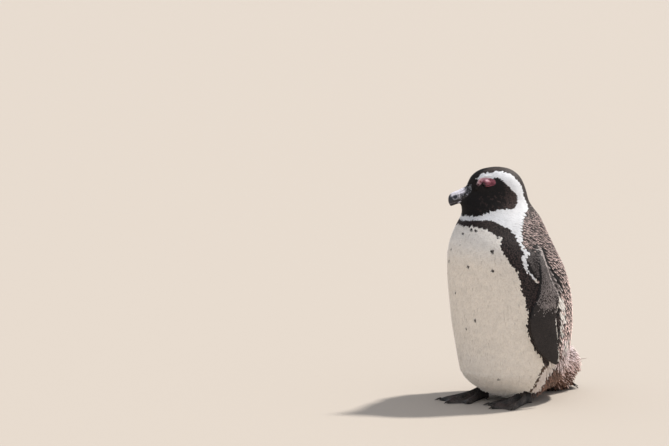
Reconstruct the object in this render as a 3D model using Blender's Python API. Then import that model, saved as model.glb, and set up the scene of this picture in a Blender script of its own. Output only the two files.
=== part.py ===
"""An adult African penguin standing at rest, life size, head turned a little to its right.

The bird faces -Y, its left side is +X, and +Z is up.  Most solids are UV spheres whose
vertices are moved to the animal's form, so each one is closed from pole to pole.  The
feet are grids, shaped from above and closed by a flat sole.  The whole body is one form,
parted into head, neck and trunk by thin slanting cuts, and the pieces that sit in it
(tail, legs, flippers, bill, eyes) are let into it with a gap.
Lengths are in millimetres and become metres through MM.
"""

import math
from collections import namedtuple

import bmesh
import bpy
from mathutils import Matrix, Vector

MM = 0.001
GAP = 0.35  # clearance between neighbouring pieces

# ---- driving dimensions -------------------------------------------------------------

Ring = namedtuple("Ring", "z y turn half front back taper")
# The body's level sections, from the vent up to the crown: height, centre, turn to the
# bird's right in degrees, half width, reach forwards and backwards, and how much the
# front of the section narrows.
BODY = (
    Ring(10.0, 14, 0, 0, 0, 0, 0),
    Ring(12.0, 14, 0, 34, 26, 40, 0),
    Ring(21.0, 11, 0, 61, 50, 72, 0),
    Ring(40.0, 8, 0, 83, 87, 95, 0),
    Ring(66.0, 7, 0, 96.5, 107, 106, 0),
    Ring(90.0, 7, 0, 103, 110, 108, 0),
    Ring(116.0, 4, 0, 107, 111.5, 112, 0),
    Ring(144.0, 2, 0, 110, 115.5, 116, 0),
    Ring(181.0, -2, 0, 110.5, 118, 118.5, 0),
    Ring(213.0, -8, 0, 109.5, 118, 117, 0),
    Ring(247.0, -17, 0, 105, 114.5, 113, 0),
    Ring(284.0, -31, 2, 94, 105.5, 105, 0),
    Ring(312.0, -37, 7, 80, 95, 97.5, 0),
    Ring(338.0, -42, 17, 64, 76.5, 87, 0.02),
    Ring(356.0, -46, 25, 51, 65, 73.5, 0.12),
    Ring(371.0, -48, 29, 43.5, 68, 63, 0.30),
    Ring(386.0, -48, 30, 40, 63.5, 59, 0.44),
    Ring(402.0, -48, 30, 37, 58.5, 53.5, 0.46),
    Ring(416.0, -48, 30, 32.5, 51.5, 46, 0.40),
    Ring(426.0, -48, 30, 25, 40.5, 35, 0.28),
    Ring(432.5, -48, 30, 15, 25, 21, 0.15),
    Ring(435.5, -48, 30, 0, 0, 0, 0),
)
BODY_AROUND, BODY_ALONG = 36, 37

HEAD_PIVOT = Vector((0, -48, 0))  # the upright line that the head turns about
HEAD_TURN = math.radians(30)

Mound = namedtuple("Mound", "front side z reach rise")
# Soft swellings and hollows of the head, placed in its own frame on both sides.
MOUNDS = (
    Mound(38, 27, 414, 13, 1.6),  # brow
    Mound(52, 20, 394, 12, -2.2),  # lores, between eye and bill
    Mound(30, 34, 370, 22, 2.0),  # cheek
)

EYE_RADIUS = 8.0
EYE_FRONT, EYE_Z = 26.5, 405.5
EYE_SUNK = 5.4  # depth of the eyeball's centre under the feathers
EYE_AHEAD = 0.25  # how much the eyes look forwards rather than straight out
EYE_AROUND, EYE_ALONG = 14, 8

BILL_BACK = (45.0, 392.5)  # front, z of the bill's buried root
BILL_TIP = (92.5, 371.5)
Section = namedtuple("Section", "along half over under lift")
# The bill along its axis: half width, height over and under the axis, drop of the axis.
BILL = (
    Section(0.00, 0.0, 0.0, 0.0, 0.0),
    Section(0.02, 10.5, 12.0, 13.0, 0.0),
    Section(0.30, 10.2, 13.0, 12.5, 0.0),
    Section(0.50, 8.6, 12.6, 11.6, 0.6),
    Section(0.68, 7.2, 12.2, 10.8, 1.1),
    Section(0.83, 6.2, 11.0, 10.2, 1.0),
    Section(0.93, 4.8, 8.2, 9.0, -0.2),
    Section(0.985, 2.6, 4.0, 6.0, -2.4),
    Section(1.00, 0.0, 0.0, 0.0, -4.0),
)
MOUTH_BACK, MOUTH_TIP = (45.0, 386.0), (91.0, 367.0)  # the line where the bill closes
RIDGE = 0.25  # how much the bill narrows towards the ridge along its top
BILL_AROUND, BILL_ALONG = 14, 18

Blade = namedtuple("Blade", "z lead trail thick out")
# The flipper from shoulder to tip: leading and trailing edge across its plane,
# thickness, and how far the plane stands out from the bird's midline.
FLIPPER = (
    Blade(305, 3, -4, 0, 80),
    Blade(301, 9, -9, 10, 85),
    Blade(284, 12, -13, 18, 96.5),
    Blade(262, 10, -17, 22, 105.5),
    Blade(245, 8, -21, 21, 110),
    Blade(228, 8, -28, 17, 114),
    Blade(208, 10.5, -38, 13.5, 117),
    Blade(194, 18.5, -40.5, 12, 118),
    Blade(178, 24, -35, 11, 118),
    Blade(158, 25, -34, 10, 117),
    Blade(132, 19.5, -39, 9, 114.5),
    Blade(106, 6.5, -43.5, 8, 111.5),
    Blade(90, -9, -47, 7, 108.5),
    Blade(80, -25, -46.5, 5.5, 106),
    Blade(75.5, -35, -43.5, 3.5, 105),
    Blade(74.5, -40, -40, 0, 104.5),
)
# Which way each flipper's flat faces, from the front, and how much nearer it lies.
FLIPPER_FACING = {"left": math.radians(66), "right": math.radians(79)}
FLIPPER_NEARER = {"left": 0.0, "right": 2.0}
FLIPPER_BOW = 0.0016  # the blade's curve round the body, per mm
FLIPPER_EDGE = 0.30  # thickness that the trailing edge keeps
FLIPPER_AROUND, FLIPPER_ALONG = 14, 23

Link = namedtuple("Link", "y z half over under")
# The tail from its buried root to its tip on the floor.
TAIL = (
    Link(78, 86, 0, 0, 0),
    Link(82, 84, 46, 30, 34),
    Link(112, 68, 46, 34, 50),
    Link(138, 53, 42, 33.5, 60),
    Link(158, 40, 35.5, 29.5, 53),
    Link(172, 28.5, 26, 20.5, 39),
    Link(180, 18.5, 15, 11, 26),
    Link(183, 11, 0, 0, 0),
)
TAIL_LEAN = math.radians(38)  # the sections lean back, square to the tail's own line
TAIL_AROUND, TAIL_ALONG = 16, 13

FOOT_X = 46.0  # each foot from the midline
FOOT_HEEL_Y = {"left": -20.0, "right": -31.0}  # the right foot stands ahead
TOE_OUT = {"left": math.radians(-2), "right": math.radians(4)}  # turn outwards
Toe = namedtuple("Toe", "degrees length")
TOES = (Toe(-23.0, 74.0), Toe(0.0, 90.0), Toe(23.0, 84.0))  # inner, middle, outer
FOOT_SPREAD = math.radians(28.5)
FOOT_BACK = 12.0  # from the point that the toes fan from to the back of the heel
HEEL_RISE, TOE_RISE, WEB_RISE = 23.0, 9.5, 3.8  # heights over the floor
TOE_HALF, WEB_SAG, TOE_BULGE = 6.2, 9.0, 9.0
TOE_ROUND = 5.2  # degrees from a toe's line to where its round tip has gone
HEEL_HALF = 11.5
SIDE_FALL, HEEL_FALL = 0.45, 0.25  # how much lower the foot's sides are than its middle
TIP_FALL, TIP_SHARE = 0.45, 0.86  # the toes' ends slope down over the last of their length
FOOT_ACROSS, FOOT_ALONG = 16, 6

Claw = namedtuple("Claw", "name degrees root rise")
TOE_CLAW_BURIED, TOE_CLAW_RISE = 6.0, 4.6
HIND_CLAW = Claw("hind", -68.0, 12.0, 4.2)  # of the small inner toe, beside the heel
CLAW_LENGTH, CLAW_HALF, CLAW_TAPER = 17.0, 3.1, 0.72
CLAW_TIP_Z, CLAW_LOWEST = 1.2, 0.6
CLAW_AROUND, CLAW_ALONG = 6, 6

LEG_TOP, LEG_FOOT = 62.0, 9.0  # the feathered shank, from inside the belly down over the heel
LEG_HALF, LEG_LONG, LEG_X, LEG_Y = 29.0, 36.0, 43.24, -10.0
LEG_ANKLE = 0.62  # the shank's width over the foot, as a share of its top
ANKLE_AHEAD = 14.0  # the ankle's middle ahead of the heel
LEG_AROUND, LEG_ALONG = 14, 8

HEAD_CUT = (Vector((0, -48, 351)), -0.22)  # a point of the cut, and its fall forwards
NECK_CUT = (Vector((0, -38, 319)), -0.16)

COLOURS = {  # base colour, roughness
    "black_feather": ((0.030, 0.027, 0.027), 0.60),
    "brown_feather": ((0.085, 0.068, 0.060), 0.70),
    "white_feather": ((0.760, 0.730, 0.690), 0.65),
    "rump_feather": ((0.260, 0.170, 0.150), 0.80),
    "bill_horn": ((0.050, 0.050, 0.060), 0.30),
    "eye_dark": ((0.030, 0.016, 0.010), 0.08),
    "foot_skin": ((0.024, 0.022, 0.024), 0.50),
    "claw_horn": ((0.030, 0.028, 0.026), 0.35),
}


# ---- helpers ------------------------------------------------------------------------

def between(rows, share):
    """The row at a share from 0 to 1 along a table, on a smooth curve through its rows."""
    place = min(max(share, 0.0), 1.0) * (len(rows) - 1)
    i = min(int(place), len(rows) - 2)
    t = place - i
    before, here, after, beyond = (
        rows[max(i - 1, 0)], rows[i], rows[i + 1], rows[min(i + 2, len(rows) - 1)]
    )
    values = []
    for a, b, c, d in zip(before, here, after, beyond):
        bend = (2 * a - 5 * b + 4 * c - d) * t * t + (3 * b - a - 3 * c + d) * t ** 3
        values.append(0.5 * (2 * b + (c - a) * t + bend))
    return type(here)(*values)


def material(name, finish):
    colour, roughness = COLOURS[finish]
    made = bpy.data.materials.new(f"{name} {finish}")
    made.use_nodes = True
    surface = made.node_tree.nodes["Principled BSDF"]
    surface.inputs["Base Color"].default_value = (*colour, 1.0)
    surface.inputs["Roughness"].default_value = roughness
    surface.inputs["Metallic"].default_value = 0.0
    return made


def thing(name, bm, finish, helper=False):
    """An object from a bmesh in millimetres. A helper is a cutter that isn't a piece."""
    face_out(bm)
    bmesh.ops.scale(bm, vec=(MM, MM, MM), verts=bm.verts)
    mesh = bpy.data.meshes.new(name)
    bm.to_mesh(mesh)
    bm.free()
    mesh.materials.append(material(name, finish))
    mesh.shade_smooth()
    made = bpy.data.objects.new(name, mesh)
    bpy.context.scene.collection.objects.link(made)
    made.hide_render = helper
    if helper:
        made.display_type = "WIRE"
    return made


def in_triangles(bm):
    """Settles each bent quad's diagonal, so that a piece and its cutter agree on it."""
    bmesh.ops.triangulate(bm, faces=bm.faces, quad_method="FIXED")
    return bm


def moulded(around, along, place):
    """A UV sphere whose points go to place(share from pole to pole, angle)."""
    bm = bmesh.new()
    bmesh.ops.create_uvsphere(bm, u_segments=around, v_segments=along, radius=1)
    for vert in bm.verts:
        share = math.acos(max(-1.0, min(1.0, -vert.co.z))) / math.pi
        vert.co = place(share, math.atan2(vert.co.y, vert.co.x))
    return in_triangles(bm)


def face_out(bm):
    """Turns a closed form's faces outwards and settles its vertex normals."""
    bmesh.ops.recalc_face_normals(bm, faces=bm.faces)
    if bm.calc_volume(signed=True) < 0:
        bmesh.ops.reverse_faces(bm, faces=bm.faces)
    bm.normal_update()


def grown(bm, by):
    """The same form with every point moved out by a distance, for a cutter with a gap."""
    face_out(bm)
    for vert, way in [(vert, vert.normal * vert.calc_shell_factor()) for vert in bm.verts]:
        vert.co += way * by
    return bm


def cut(target, *cutters):
    for cutter in cutters:
        step = target.modifiers.new("cut " + cutter.name, "BOOLEAN")
        step.operation = "DIFFERENCE"
        step.object = cutter
        step.solver = "EXACT"


def head_frame():
    """Takes (front, side, z) of the head's own frame to the bird's; side + is its left."""
    return Matrix.Translation(HEAD_PIVOT) @ Matrix.Rotation(-HEAD_TURN, 4, "Z")


def on_head(front, side, z):
    return head_frame() @ Vector((side, -front, z))


# ---- the body and its parts ---------------------------------------------------------

def body_point(share, angle):
    """A point of the body's surface; angle 0 is its front, and + is its left."""
    ring = between(BODY, share)
    ahead, aside = math.cos(angle), math.sin(angle)
    reach = ring.front if ahead > 0 else ring.back
    side = max(ring.half, 0) * aside * (1 - ring.taper * max(ahead, 0) ** 1.5)
    point = Vector((side, -max(reach, 0) * ahead, 0))
    point.rotate(Matrix.Rotation(math.radians(-ring.turn), 3, "Z"))
    return point + Vector((0, ring.y, ring.z))


def body_form():
    bm = moulded(BODY_AROUND, BODY_ALONG, lambda s, a: body_point(s, a + math.pi / 2))
    face_out(bm)
    moves = []
    for vert in bm.verts:
        rise = 0.0
        for mound in MOUNDS:
            for side in {mound.side, -mound.side}:
                away = (vert.co - on_head(mound.front, side, mound.z)).length
                rise += mound.rise * math.exp(-((away / mound.reach) ** 2))
        moves.append(vert.normal * rise)
    for vert, move in zip(list(bm.verts), moves):
        vert.co += move
    return bm


def body_piece(name, low, high, finish):
    """The body between two slanting cuts; either may be left out."""
    bm = body_form()
    for limit, keep_over in ((low, True), (high, False)):
        if limit is None:
            continue
        point, fall = limit
        normal = Vector((0, fall, 1)).normalized()
        if not keep_over:
            normal = -normal
        found = bmesh.ops.bisect_plane(
            bm, geom=bm.verts[:] + bm.edges[:] + bm.faces[:], clear_inner=True,
            plane_co=point + normal * (GAP / 2), plane_no=normal,
        )
        rim = [e for e in found["geom_cut"] if isinstance(e, bmesh.types.BMEdge)]
        bmesh.ops.contextual_create(bm, geom=rim)
    return thing(name, bm, finish)


def head_direction(front, side, z):
    return (on_head(front, side, z) - on_head(0, 0, 0)).normalized()


def skull_side(front, z, side):
    """Where the head's surface is, at a place seen from its side."""
    best = None
    for share in (0.70 + 0.001 * i for i in range(250)):
        if between(BODY, share).z >= z:
            best = share
            break
    angles = (math.radians(0.5 * i) for i in range(1, 180))
    angle = min(angles, key=lambda a: abs(between(BODY, best).front * math.cos(a) - front))
    ring = between(BODY, best)
    return side * ring.half * math.sin(angle) * (1 - ring.taper * math.cos(angle) ** 1.5)


def eye_form(side, by=0.0):
    reach = skull_side(EYE_FRONT, EYE_Z, 1) - EYE_SUNK
    centre = on_head(EYE_FRONT, side * reach, EYE_Z)
    bm = bmesh.new()
    bmesh.ops.create_uvsphere(
        bm, u_segments=EYE_AROUND, v_segments=EYE_ALONG, radius=EYE_RADIUS + by
    )
    outwards = head_direction(EYE_AHEAD, side, 0.0)
    turn = outwards.to_track_quat("Z", "Y").to_matrix().to_4x4()
    bmesh.ops.transform(bm, matrix=Matrix.Translation(centre) @ turn, verts=bm.verts)
    return bm


def bill_point(share, angle):
    part = between(BILL, share)
    front, z = (b + (t - b) * part.along for b, t in zip(BILL_BACK, BILL_TIP))
    slope = Vector((BILL_TIP[0] - BILL_BACK[0], BILL_TIP[1] - BILL_BACK[1])).normalized()
    up = math.cos(angle)
    height = (part.over if up > 0 else part.under) * up + part.lift
    side = part.half * math.sin(angle) * (1 - RIDGE * max(up, 0) ** 2)
    return on_head(front - slope.y * height, side, z + slope.x * height)


def bill_half(upper, by=0.0):
    """The bill over or under its mouth line."""
    bm = moulded(BILL_AROUND, BILL_ALONG, bill_point)
    if by:
        return grown(bm, by)
    start, end = (on_head(f, 0, z) for f, z in (MOUTH_BACK, MOUTH_TIP))
    aside = head_direction(0, 1, 0)
    normal = (end - start).cross(aside).normalized()
    if (normal.z > 0) != upper:
        normal = -normal
    found = bmesh.ops.bisect_plane(
        bm, geom=bm.verts[:] + bm.edges[:] + bm.faces[:], clear_inner=True,
        plane_co=start + normal * (GAP / 2), plane_no=normal,
    )
    rim = [e for e in found["geom_cut"] if isinstance(e, bmesh.types.BMEdge)]
    bmesh.ops.contextual_create(bm, geom=rim)
    return bm


def flipper_point(share, angle, side):
    """A point of a flipper, as if it were a left one: round in front, thin behind."""
    part = between(FLIPPER, share)
    facing = FLIPPER_FACING[side]
    outwards = Vector((math.sin(facing), -math.cos(facing), 0))
    forwards = Vector((-math.cos(facing), -math.sin(facing), 0))
    across = (part.lead + part.trail) / 2 + (part.lead - part.trail) / 2 * math.cos(angle)
    fullness = FLIPPER_EDGE + (1 - FLIPPER_EDGE) * ((1 + math.cos(angle)) / 2) ** 0.55
    deep = max(part.thick, 0) / 2 * math.sin(angle) * fullness
    out = part.out - FLIPPER_NEARER[side] + deep - FLIPPER_BOW * across * across
    return forwards * across + outwards * out + Vector((0, 0, part.z))


def flipper_form(side, by=0.0):
    name = "left" if side > 0 else "right"
    bm = moulded(FLIPPER_AROUND, FLIPPER_ALONG, lambda s, a: flipper_point(s, a, name))
    if side < 0:
        bmesh.ops.scale(bm, vec=(-1, 1, 1), verts=bm.verts)
    return grown(bm, by) if by else bm


def tail_point(share, angle):
    part = between(TAIL, share)
    up = math.cos(angle)
    height = (part.over if up > 0 else part.under) * up
    y = part.y + height * math.sin(TAIL_LEAN)
    z = max(part.z + height * math.cos(TAIL_LEAN), 0.0)
    return Vector((part.half * math.sin(angle), y, z))


def tail_form(by=0.0):
    bm = moulded(TAIL_AROUND, TAIL_ALONG, tail_point)
    return grown(bm, by) if by else bm


def foot_matrix(side):
    name = "left" if side > 0 else "right"
    place = Matrix.Translation((side * FOOT_X, FOOT_HEEL_Y[name], 0))
    return place @ Matrix.Rotation(side * TOE_OUT[name], 4, "Z")


def foot_reach(angle):
    """How far the foot's front edge is from the heel at an angle across the fan."""
    first, last = TOES[0], TOES[-1]
    share = (math.degrees(angle) - first[0]) / (last[0] - first[0])
    share = min(max(share, 0.0), 1.0)
    along = between(TOES, share).length
    nearest = min(abs(math.degrees(angle) - degrees) for degrees, _ in TOES)
    return along - WEB_SAG + TOE_BULGE * math.exp(-((nearest / TOE_ROUND) ** 2))


def foot_rise(angle, reach):
    """The height of the foot's upper side over the floor: toes as ridges, webs between."""
    length = foot_reach(angle)
    share = min(max(reach / length, 0.0), 1.0)
    toe_rise = TOE_RISE + (HEEL_RISE - TOE_RISE) * (1 - share) ** 1.4
    aside = min(abs(angle - math.radians(degrees)) * reach for degrees, _ in TOES)
    ridge = math.exp(-((aside / TOE_HALF) ** 2))
    end = 1 - TIP_FALL * max(share - TIP_SHARE, 0) / (1 - TIP_SHARE)
    return (WEB_RISE + (toe_rise - WEB_RISE) * ridge) * end


def foot_form(side, by=0.0):
    bm = bmesh.new()
    bmesh.ops.create_grid(bm, x_segments=FOOT_ACROSS, y_segments=FOOT_ALONG, size=1)
    for vert in bm.verts:
        angle = vert.co.x * FOOT_SPREAD
        share = (vert.co.y + 1) / 2
        reach = -FOOT_BACK + (foot_reach(angle) + FOOT_BACK) * share
        wide = max(reach, 0) * math.sin(angle)
        pad = vert.co.x * HEEL_HALF * (1 - share) ** 1.5
        height = foot_rise(angle, max(reach, 0))
        height *= 1 - abs(vert.co.x) ** 3 * (SIDE_FALL + HEEL_FALL * (1 - share))
        vert.co = Vector((side * (wide + pad), -reach * math.cos(angle), height))
    sole = bmesh.ops.extrude_face_region(bm, geom=bm.faces[:])["geom"]
    for vert in (v for v in sole if isinstance(v, bmesh.types.BMVert)):
        vert.co.z = 0
    bmesh.ops.transform(bm, matrix=foot_matrix(side), verts=bm.verts)
    in_triangles(bm)
    return grown(bm, by) if by else bm


def claw_form(side, claw, by=0.0):
    """A claw that leaves the toe at a height and curves down almost to the floor."""
    way = math.radians(claw.degrees)

    def place(share, angle):
        size = CLAW_HALF * math.sin(math.pi * share) ** 0.5 * (1 - CLAW_TAPER * share)
        reach = claw.root + CLAW_LENGTH * share
        height = claw.rise - (claw.rise - CLAW_TIP_Z) * share ** 1.6
        aside = size * 0.8 * math.cos(angle)
        up = max(height + size * math.sin(angle), CLAW_LOWEST)
        return Vector((
            side * (reach * math.sin(way) + aside * math.cos(way)),
            -reach * math.cos(way) + aside * math.sin(way),
            up,
        ))

    bm = moulded(CLAW_AROUND, CLAW_ALONG, place)
    bmesh.ops.transform(bm, matrix=foot_matrix(side), verts=bm.verts)
    return grown(bm, by) if by else bm


def claws():
    """Each claw of a foot: three at the toes' ends, and the hind one."""
    for name, toe in zip(("inner", "middle", "outer"), TOES):
        yield Claw(name, toe.degrees, toe.length - TOE_CLAW_BURIED, TOE_CLAW_RISE)
    yield HIND_CLAW


def leg_form(side, by=0.0):
    name = "left" if side > 0 else "right"

    def place(share, angle):
        height = LEG_FOOT + (LEG_TOP - LEG_FOOT) * share
        size = math.sin(math.pi * share) ** 0.35 * (LEG_ANKLE + (1 - LEG_ANKLE) * share)
        centre = LEG_Y + (FOOT_HEEL_Y[name] + ANKLE_AHEAD - LEG_Y) * (1 - share) / 2
        return Vector((
            side * LEG_X + LEG_HALF * size * math.sin(angle),
            centre + LEG_LONG * size * math.cos(angle),
            height,
        ))

    bm = moulded(LEG_AROUND, LEG_ALONG, place)
    return grown(bm, by) if by else bm


def centre_on_floor(pieces):
    """Moves everything so that the origin is on the floor, under the middle of the box."""
    bpy.context.view_layer.update()
    graph = bpy.context.evaluated_depsgraph_get()
    corners = [
        Vector(corner) for piece in pieces for corner in piece.evaluated_get(graph).bound_box
    ]
    middle = Vector((
        (min(c.x for c in corners) + max(c.x for c in corners)) / 2,
        (min(c.y for c in corners) + max(c.y for c in corners)) / 2,
        min(c.z for c in corners),
    ))
    for each in list(bpy.data.objects):
        each.data.transform(Matrix.Translation(-middle))
    print("origin moved by (mm)", [round(-x / MM, 2) for x in middle])


def main():
    for each in list(bpy.data.objects):
        bpy.data.objects.remove(each)

    head = body_piece("head", HEAD_CUT, None, "black_feather")
    neck = body_piece("neck", NECK_CUT, HEAD_CUT, "white_feather")
    trunk = body_piece("trunk", None, NECK_CUT, "white_feather")
    pieces = [head, neck, trunk]

    bill_room = thing("room_bill", bill_half(True, GAP), "bill_horn", helper=True)
    cut(head, bill_room)
    for name, upper in (("bill_upper", True), ("bill_lower", False)):
        pieces.append(thing(name, bill_half(upper), "bill_horn"))

    tail = thing("tail", tail_form(), "rump_feather")
    cut(trunk, thing("room_tail", tail_form(GAP), "rump_feather", helper=True))
    pieces.append(tail)

    for name, side in (("left", 1), ("right", -1)):
        pieces.append(thing("eye_" + name, eye_form(side), "eye_dark"))
        cut(head, thing("room_eye_" + name, eye_form(side, GAP), "eye_dark", helper=True))

        flipper, leg, foot = "flipper_" + name, "leg_" + name, "foot_" + name
        pieces.append(thing(flipper, flipper_form(side), "brown_feather"))
        pieces.append(thing(leg, leg_form(side), "white_feather"))
        cut(pieces[-1], thing("heel_" + name, foot_form(side, GAP), "foot_skin", helper=True))
        pieces.append(thing(foot, foot_form(side), "foot_skin"))
        for form, let_in in ((flipper_form, flipper), (leg_form, leg), (foot_form, foot)):
            cut(trunk, thing("room_" + let_in, form(side, GAP), "white_feather", helper=True))
        for claw in claws():
            label = f"claw_{name}_{claw.name}"
            room = thing("room_" + label, claw_form(side, claw, GAP), "claw_horn", helper=True)
            cut(bpy.data.objects[foot], room)
            pieces.append(thing(label, claw_form(side, claw), "claw_horn"))

    centre_on_floor(pieces)


main()
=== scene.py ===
# %% [markdown]
# # A penguin at rest, life size
# A bird is a skin with thousands of small blades laid over it. This lesson builds an
# adult African penguin that way: one smooth skin inside the solids, the markings as
# functions of where a point is on the bird, and then every feather as a thin closed
# vane that starts at the skin, follows it and lies over the next one.
#
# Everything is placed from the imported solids, so the first step is to load them.

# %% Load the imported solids
import math

import bmesh
import bpy
import numpy as np
from mathutils import Matrix, Vector
from mathutils.bvhtree import BVHTree
from mathutils.kdtree import KDTree


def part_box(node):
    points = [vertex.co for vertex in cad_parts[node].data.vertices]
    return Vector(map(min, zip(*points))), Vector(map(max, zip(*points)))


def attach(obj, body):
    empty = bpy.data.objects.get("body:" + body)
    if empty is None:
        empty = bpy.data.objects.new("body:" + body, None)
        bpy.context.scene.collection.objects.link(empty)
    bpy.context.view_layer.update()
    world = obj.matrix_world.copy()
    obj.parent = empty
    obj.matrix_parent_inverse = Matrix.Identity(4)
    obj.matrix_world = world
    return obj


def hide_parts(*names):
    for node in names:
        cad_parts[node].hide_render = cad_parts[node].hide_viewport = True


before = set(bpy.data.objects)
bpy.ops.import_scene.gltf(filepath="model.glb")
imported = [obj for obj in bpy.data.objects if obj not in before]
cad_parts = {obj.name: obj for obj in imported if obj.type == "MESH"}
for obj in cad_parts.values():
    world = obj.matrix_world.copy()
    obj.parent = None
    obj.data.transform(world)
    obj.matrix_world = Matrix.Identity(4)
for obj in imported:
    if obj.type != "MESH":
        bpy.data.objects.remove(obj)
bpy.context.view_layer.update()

MM = 0.001

# %% [markdown]
# ## Where things are on the bird
# Markings and feathers follow the animal, not the room. So each point gets two numbers of
# its own: its height, and its angle round the spine from the middle of the breast, plus
# towards the bird's left. The spine leans, and above the shoulders it turns with the
# head, so both are short tables by height.

# %% The bird's own directions
HEAD_TURN = math.radians(30)
EYE_FRONT = 26.5 * MM
PIVOT_AHEAD = 48 * MM  # the neck's turning line, ahead of the body's middle
head_forward = Vector((-math.sin(HEAD_TURN), -math.cos(HEAD_TURN), 0))
head_left = Vector((math.cos(HEAD_TURN), -math.sin(HEAD_TURN), 0))


def middle(node):
    """The middle of a solid's box."""
    low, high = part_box(node)
    return (low + high) / 2


eyes = {side: middle("eye_" + side) for side in ("left", "right")}
pivot = (eyes["left"] + eyes["right"]) / 2 - head_forward * EYE_FRONT
origin = Vector((pivot.x, pivot.y + PIVOT_AHEAD, 0))
print("body's middle in mm", [round(c / MM, 2) for c in origin])

# %% Height and angle round the spine
SPINE = (  # height, y of the spine, turn of the bird in degrees
    (40, 8, 0),
    (116, 4, 0),
    (181, -2, 0),
    (247, -17, 0),
    (284, -31, 2),
    (312, -37, 7),
    (338, -42, 17),
    (356, -46, 25),
    (371, -48, 29),
    (386, -48, 30),
)


def edge(at, line):
    """The value at each place along a line given by a few (place, value) points."""
    places, values = zip(*line)
    return np.interp(at, places, values)


def in_mm(points):
    """Points in millimetres from the body's middle on the floor."""
    return (np.asarray(points, float) - np.array(origin)) / MM


def around(mm):
    """(angle round the spine in degrees, height) of points in millimetres."""
    z = mm[:, 2]
    y = edge(z, [(row[0], row[1]) for row in SPINE])
    turn = edge(z, [(row[0], row[2]) for row in SPINE])
    angle = np.degrees(np.arctan2(mm[:, 0], y - mm[:, 1])) + turn
    return (angle + 180) % 360 - 180, z


def on_head(mm):
    """(front, side, height) of points in the head's own frame, in millimetres."""
    from_pivot = mm - np.array([0, -PIVOT_AHEAD / MM, 0])
    return from_pivot @ np.array(head_forward), from_pivot @ np.array(head_left), mm[:, 2]


def ramp(values, low, high):
    """0 below low, 1 above high, with a soft start and end."""
    share = np.clip((values - low) / (high - low), 0, 1)
    return share * share * (3 - 2 * share)


def ripple(mm, size, seed):
    """Soft noise of about -1 to 1, with crests about `size` mm apart."""
    rng = np.random.default_rng(seed)
    total = np.zeros(len(mm))
    waves = 6
    for _ in range(waves):
        way = rng.normal(size=3)
        way *= 2 * math.pi / size * rng.uniform(0.7, 1.4) / np.linalg.norm(way)
        total += np.sin(mm @ way + rng.uniform(0, 2 * math.pi))
    return total / waves * 1.8


# %% [markdown]
# ## Camera, light and floor
# The bird is seen from its left, a little above, through a long lens. One broad, soft sun
# stands high behind its left shoulder, as the bright collar and the shaded breast ask for,
# and a pale sky fills the shade.

# %% Camera
VIEW_TURN, VIEW_RISE = math.radians(38), math.radians(8)
DISTANCE = 5.0
VIEW_WIDTH = 1.23765  # m that the frame spans at the bird
LOOK_HEIGHT = 0.2
LOOK_ASIDE, LOOK_OVER = 0.328375, 0.12395  # m: the bird stands right of and below the middle
SENSOR = 36.0  # mm
FARTHEST = 200  # m, past the floor's edge

back = Vector((
    math.sin(VIEW_TURN) * math.cos(VIEW_RISE),
    -math.cos(VIEW_TURN) * math.cos(VIEW_RISE),
    math.sin(VIEW_RISE),
))
aside = Vector((math.cos(VIEW_TURN), math.sin(VIEW_TURN), 0))
upward = back.cross(aside)
target = origin + Vector((0, 0, LOOK_HEIGHT))
camera = bpy.data.objects.new("camera", bpy.data.cameras.new("camera"))
camera.location = target + back * DISTANCE
aim = target + upward * LOOK_OVER - aside * LOOK_ASIDE
camera.rotation_euler = (aim - camera.location).to_track_quat("-Z", "Y").to_euler()
camera.data.sensor_width = SENSOR
camera.data.lens = SENSOR * DISTANCE / VIEW_WIDTH
camera.data.clip_end = FARTHEST
bpy.context.scene.collection.objects.link(camera)
bpy.context.scene.camera = camera
bpy.context.scene.view_settings.view_transform = "Standard"
print("lens", round(camera.data.lens, 1), "mm")


# %% Colours and nodes
def linear(code):
    """The linear colour of an sRGB hex code."""
    shares = [int(code[i:i + 2], 16) / 255 for i in (0, 2, 4)]
    return [s / 12.92 if s <= 0.04045 else ((s + 0.055) / 1.055) ** 2.4 for s in shares]


def palette(**codes):
    """Named linear colours as arrays."""
    return {name: np.array(linear(code)) for name, code in codes.items()}


def feed(tree, node, inputs):
    """Gives each input a number or colour, or a link from another node's output."""
    for name, value in inputs.items():
        if isinstance(value, bpy.types.NodeSocket):
            tree.links.new(value, node.inputs[name])
        else:
            node.inputs[name].default_value = value


def add(tree, kind, inputs=None, **settings):
    """Adds a node with its settings and inputs."""
    made = tree.nodes.new(kind)
    for name, value in settings.items():
        setattr(made, name, value)
    feed(tree, made, inputs or {})
    return made


def painted(tree):
    """The colours painted on the points of a mesh."""
    return add(tree, "ShaderNodeAttribute", attribute_name="markings").outputs["Color"]


def noise(tree, size, detail=2.0):
    """Noise that is fixed to the object, its features about size mm across."""
    place = add(tree, "ShaderNodeTexCoord")
    return add(tree, "ShaderNodeTexNoise", {
        "Vector": place.outputs["Object"], "Scale": 1 / (size * MM), "Detail": detail,
    }).outputs["Fac"]


def mapped(tree, value, before, after):
    """A value moved from one (low, high) range to another."""
    return add(tree, "ShaderNodeMapRange", {
        "Value": value, "From Min": before[0], "From Max": before[1],
        "To Min": after[0], "To Max": after[1],
    }).outputs["Result"]


def maths(tree, operation, *values):
    """The result of an operation on numbers or on other nodes' outputs."""
    return add(tree, "ShaderNodeMath", dict(enumerate(values)), operation=operation).outputs[0]


def brightened(tree, colour, factor):
    """A colour times a factor."""
    return add(
        tree, "ShaderNodeVectorMath", {0: colour, "Scale": factor}, operation="SCALE",
    ).outputs[0]


def bumps(tree, surface, height, strength, depth):
    """Gives a surface fine relief, its depth in mm."""
    relief = add(tree, "ShaderNodeBump", {
        "Height": height, "Strength": strength, "Distance": depth * MM,
    })
    feed(tree, surface, {"Normal": relief.outputs["Normal"]})


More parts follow.
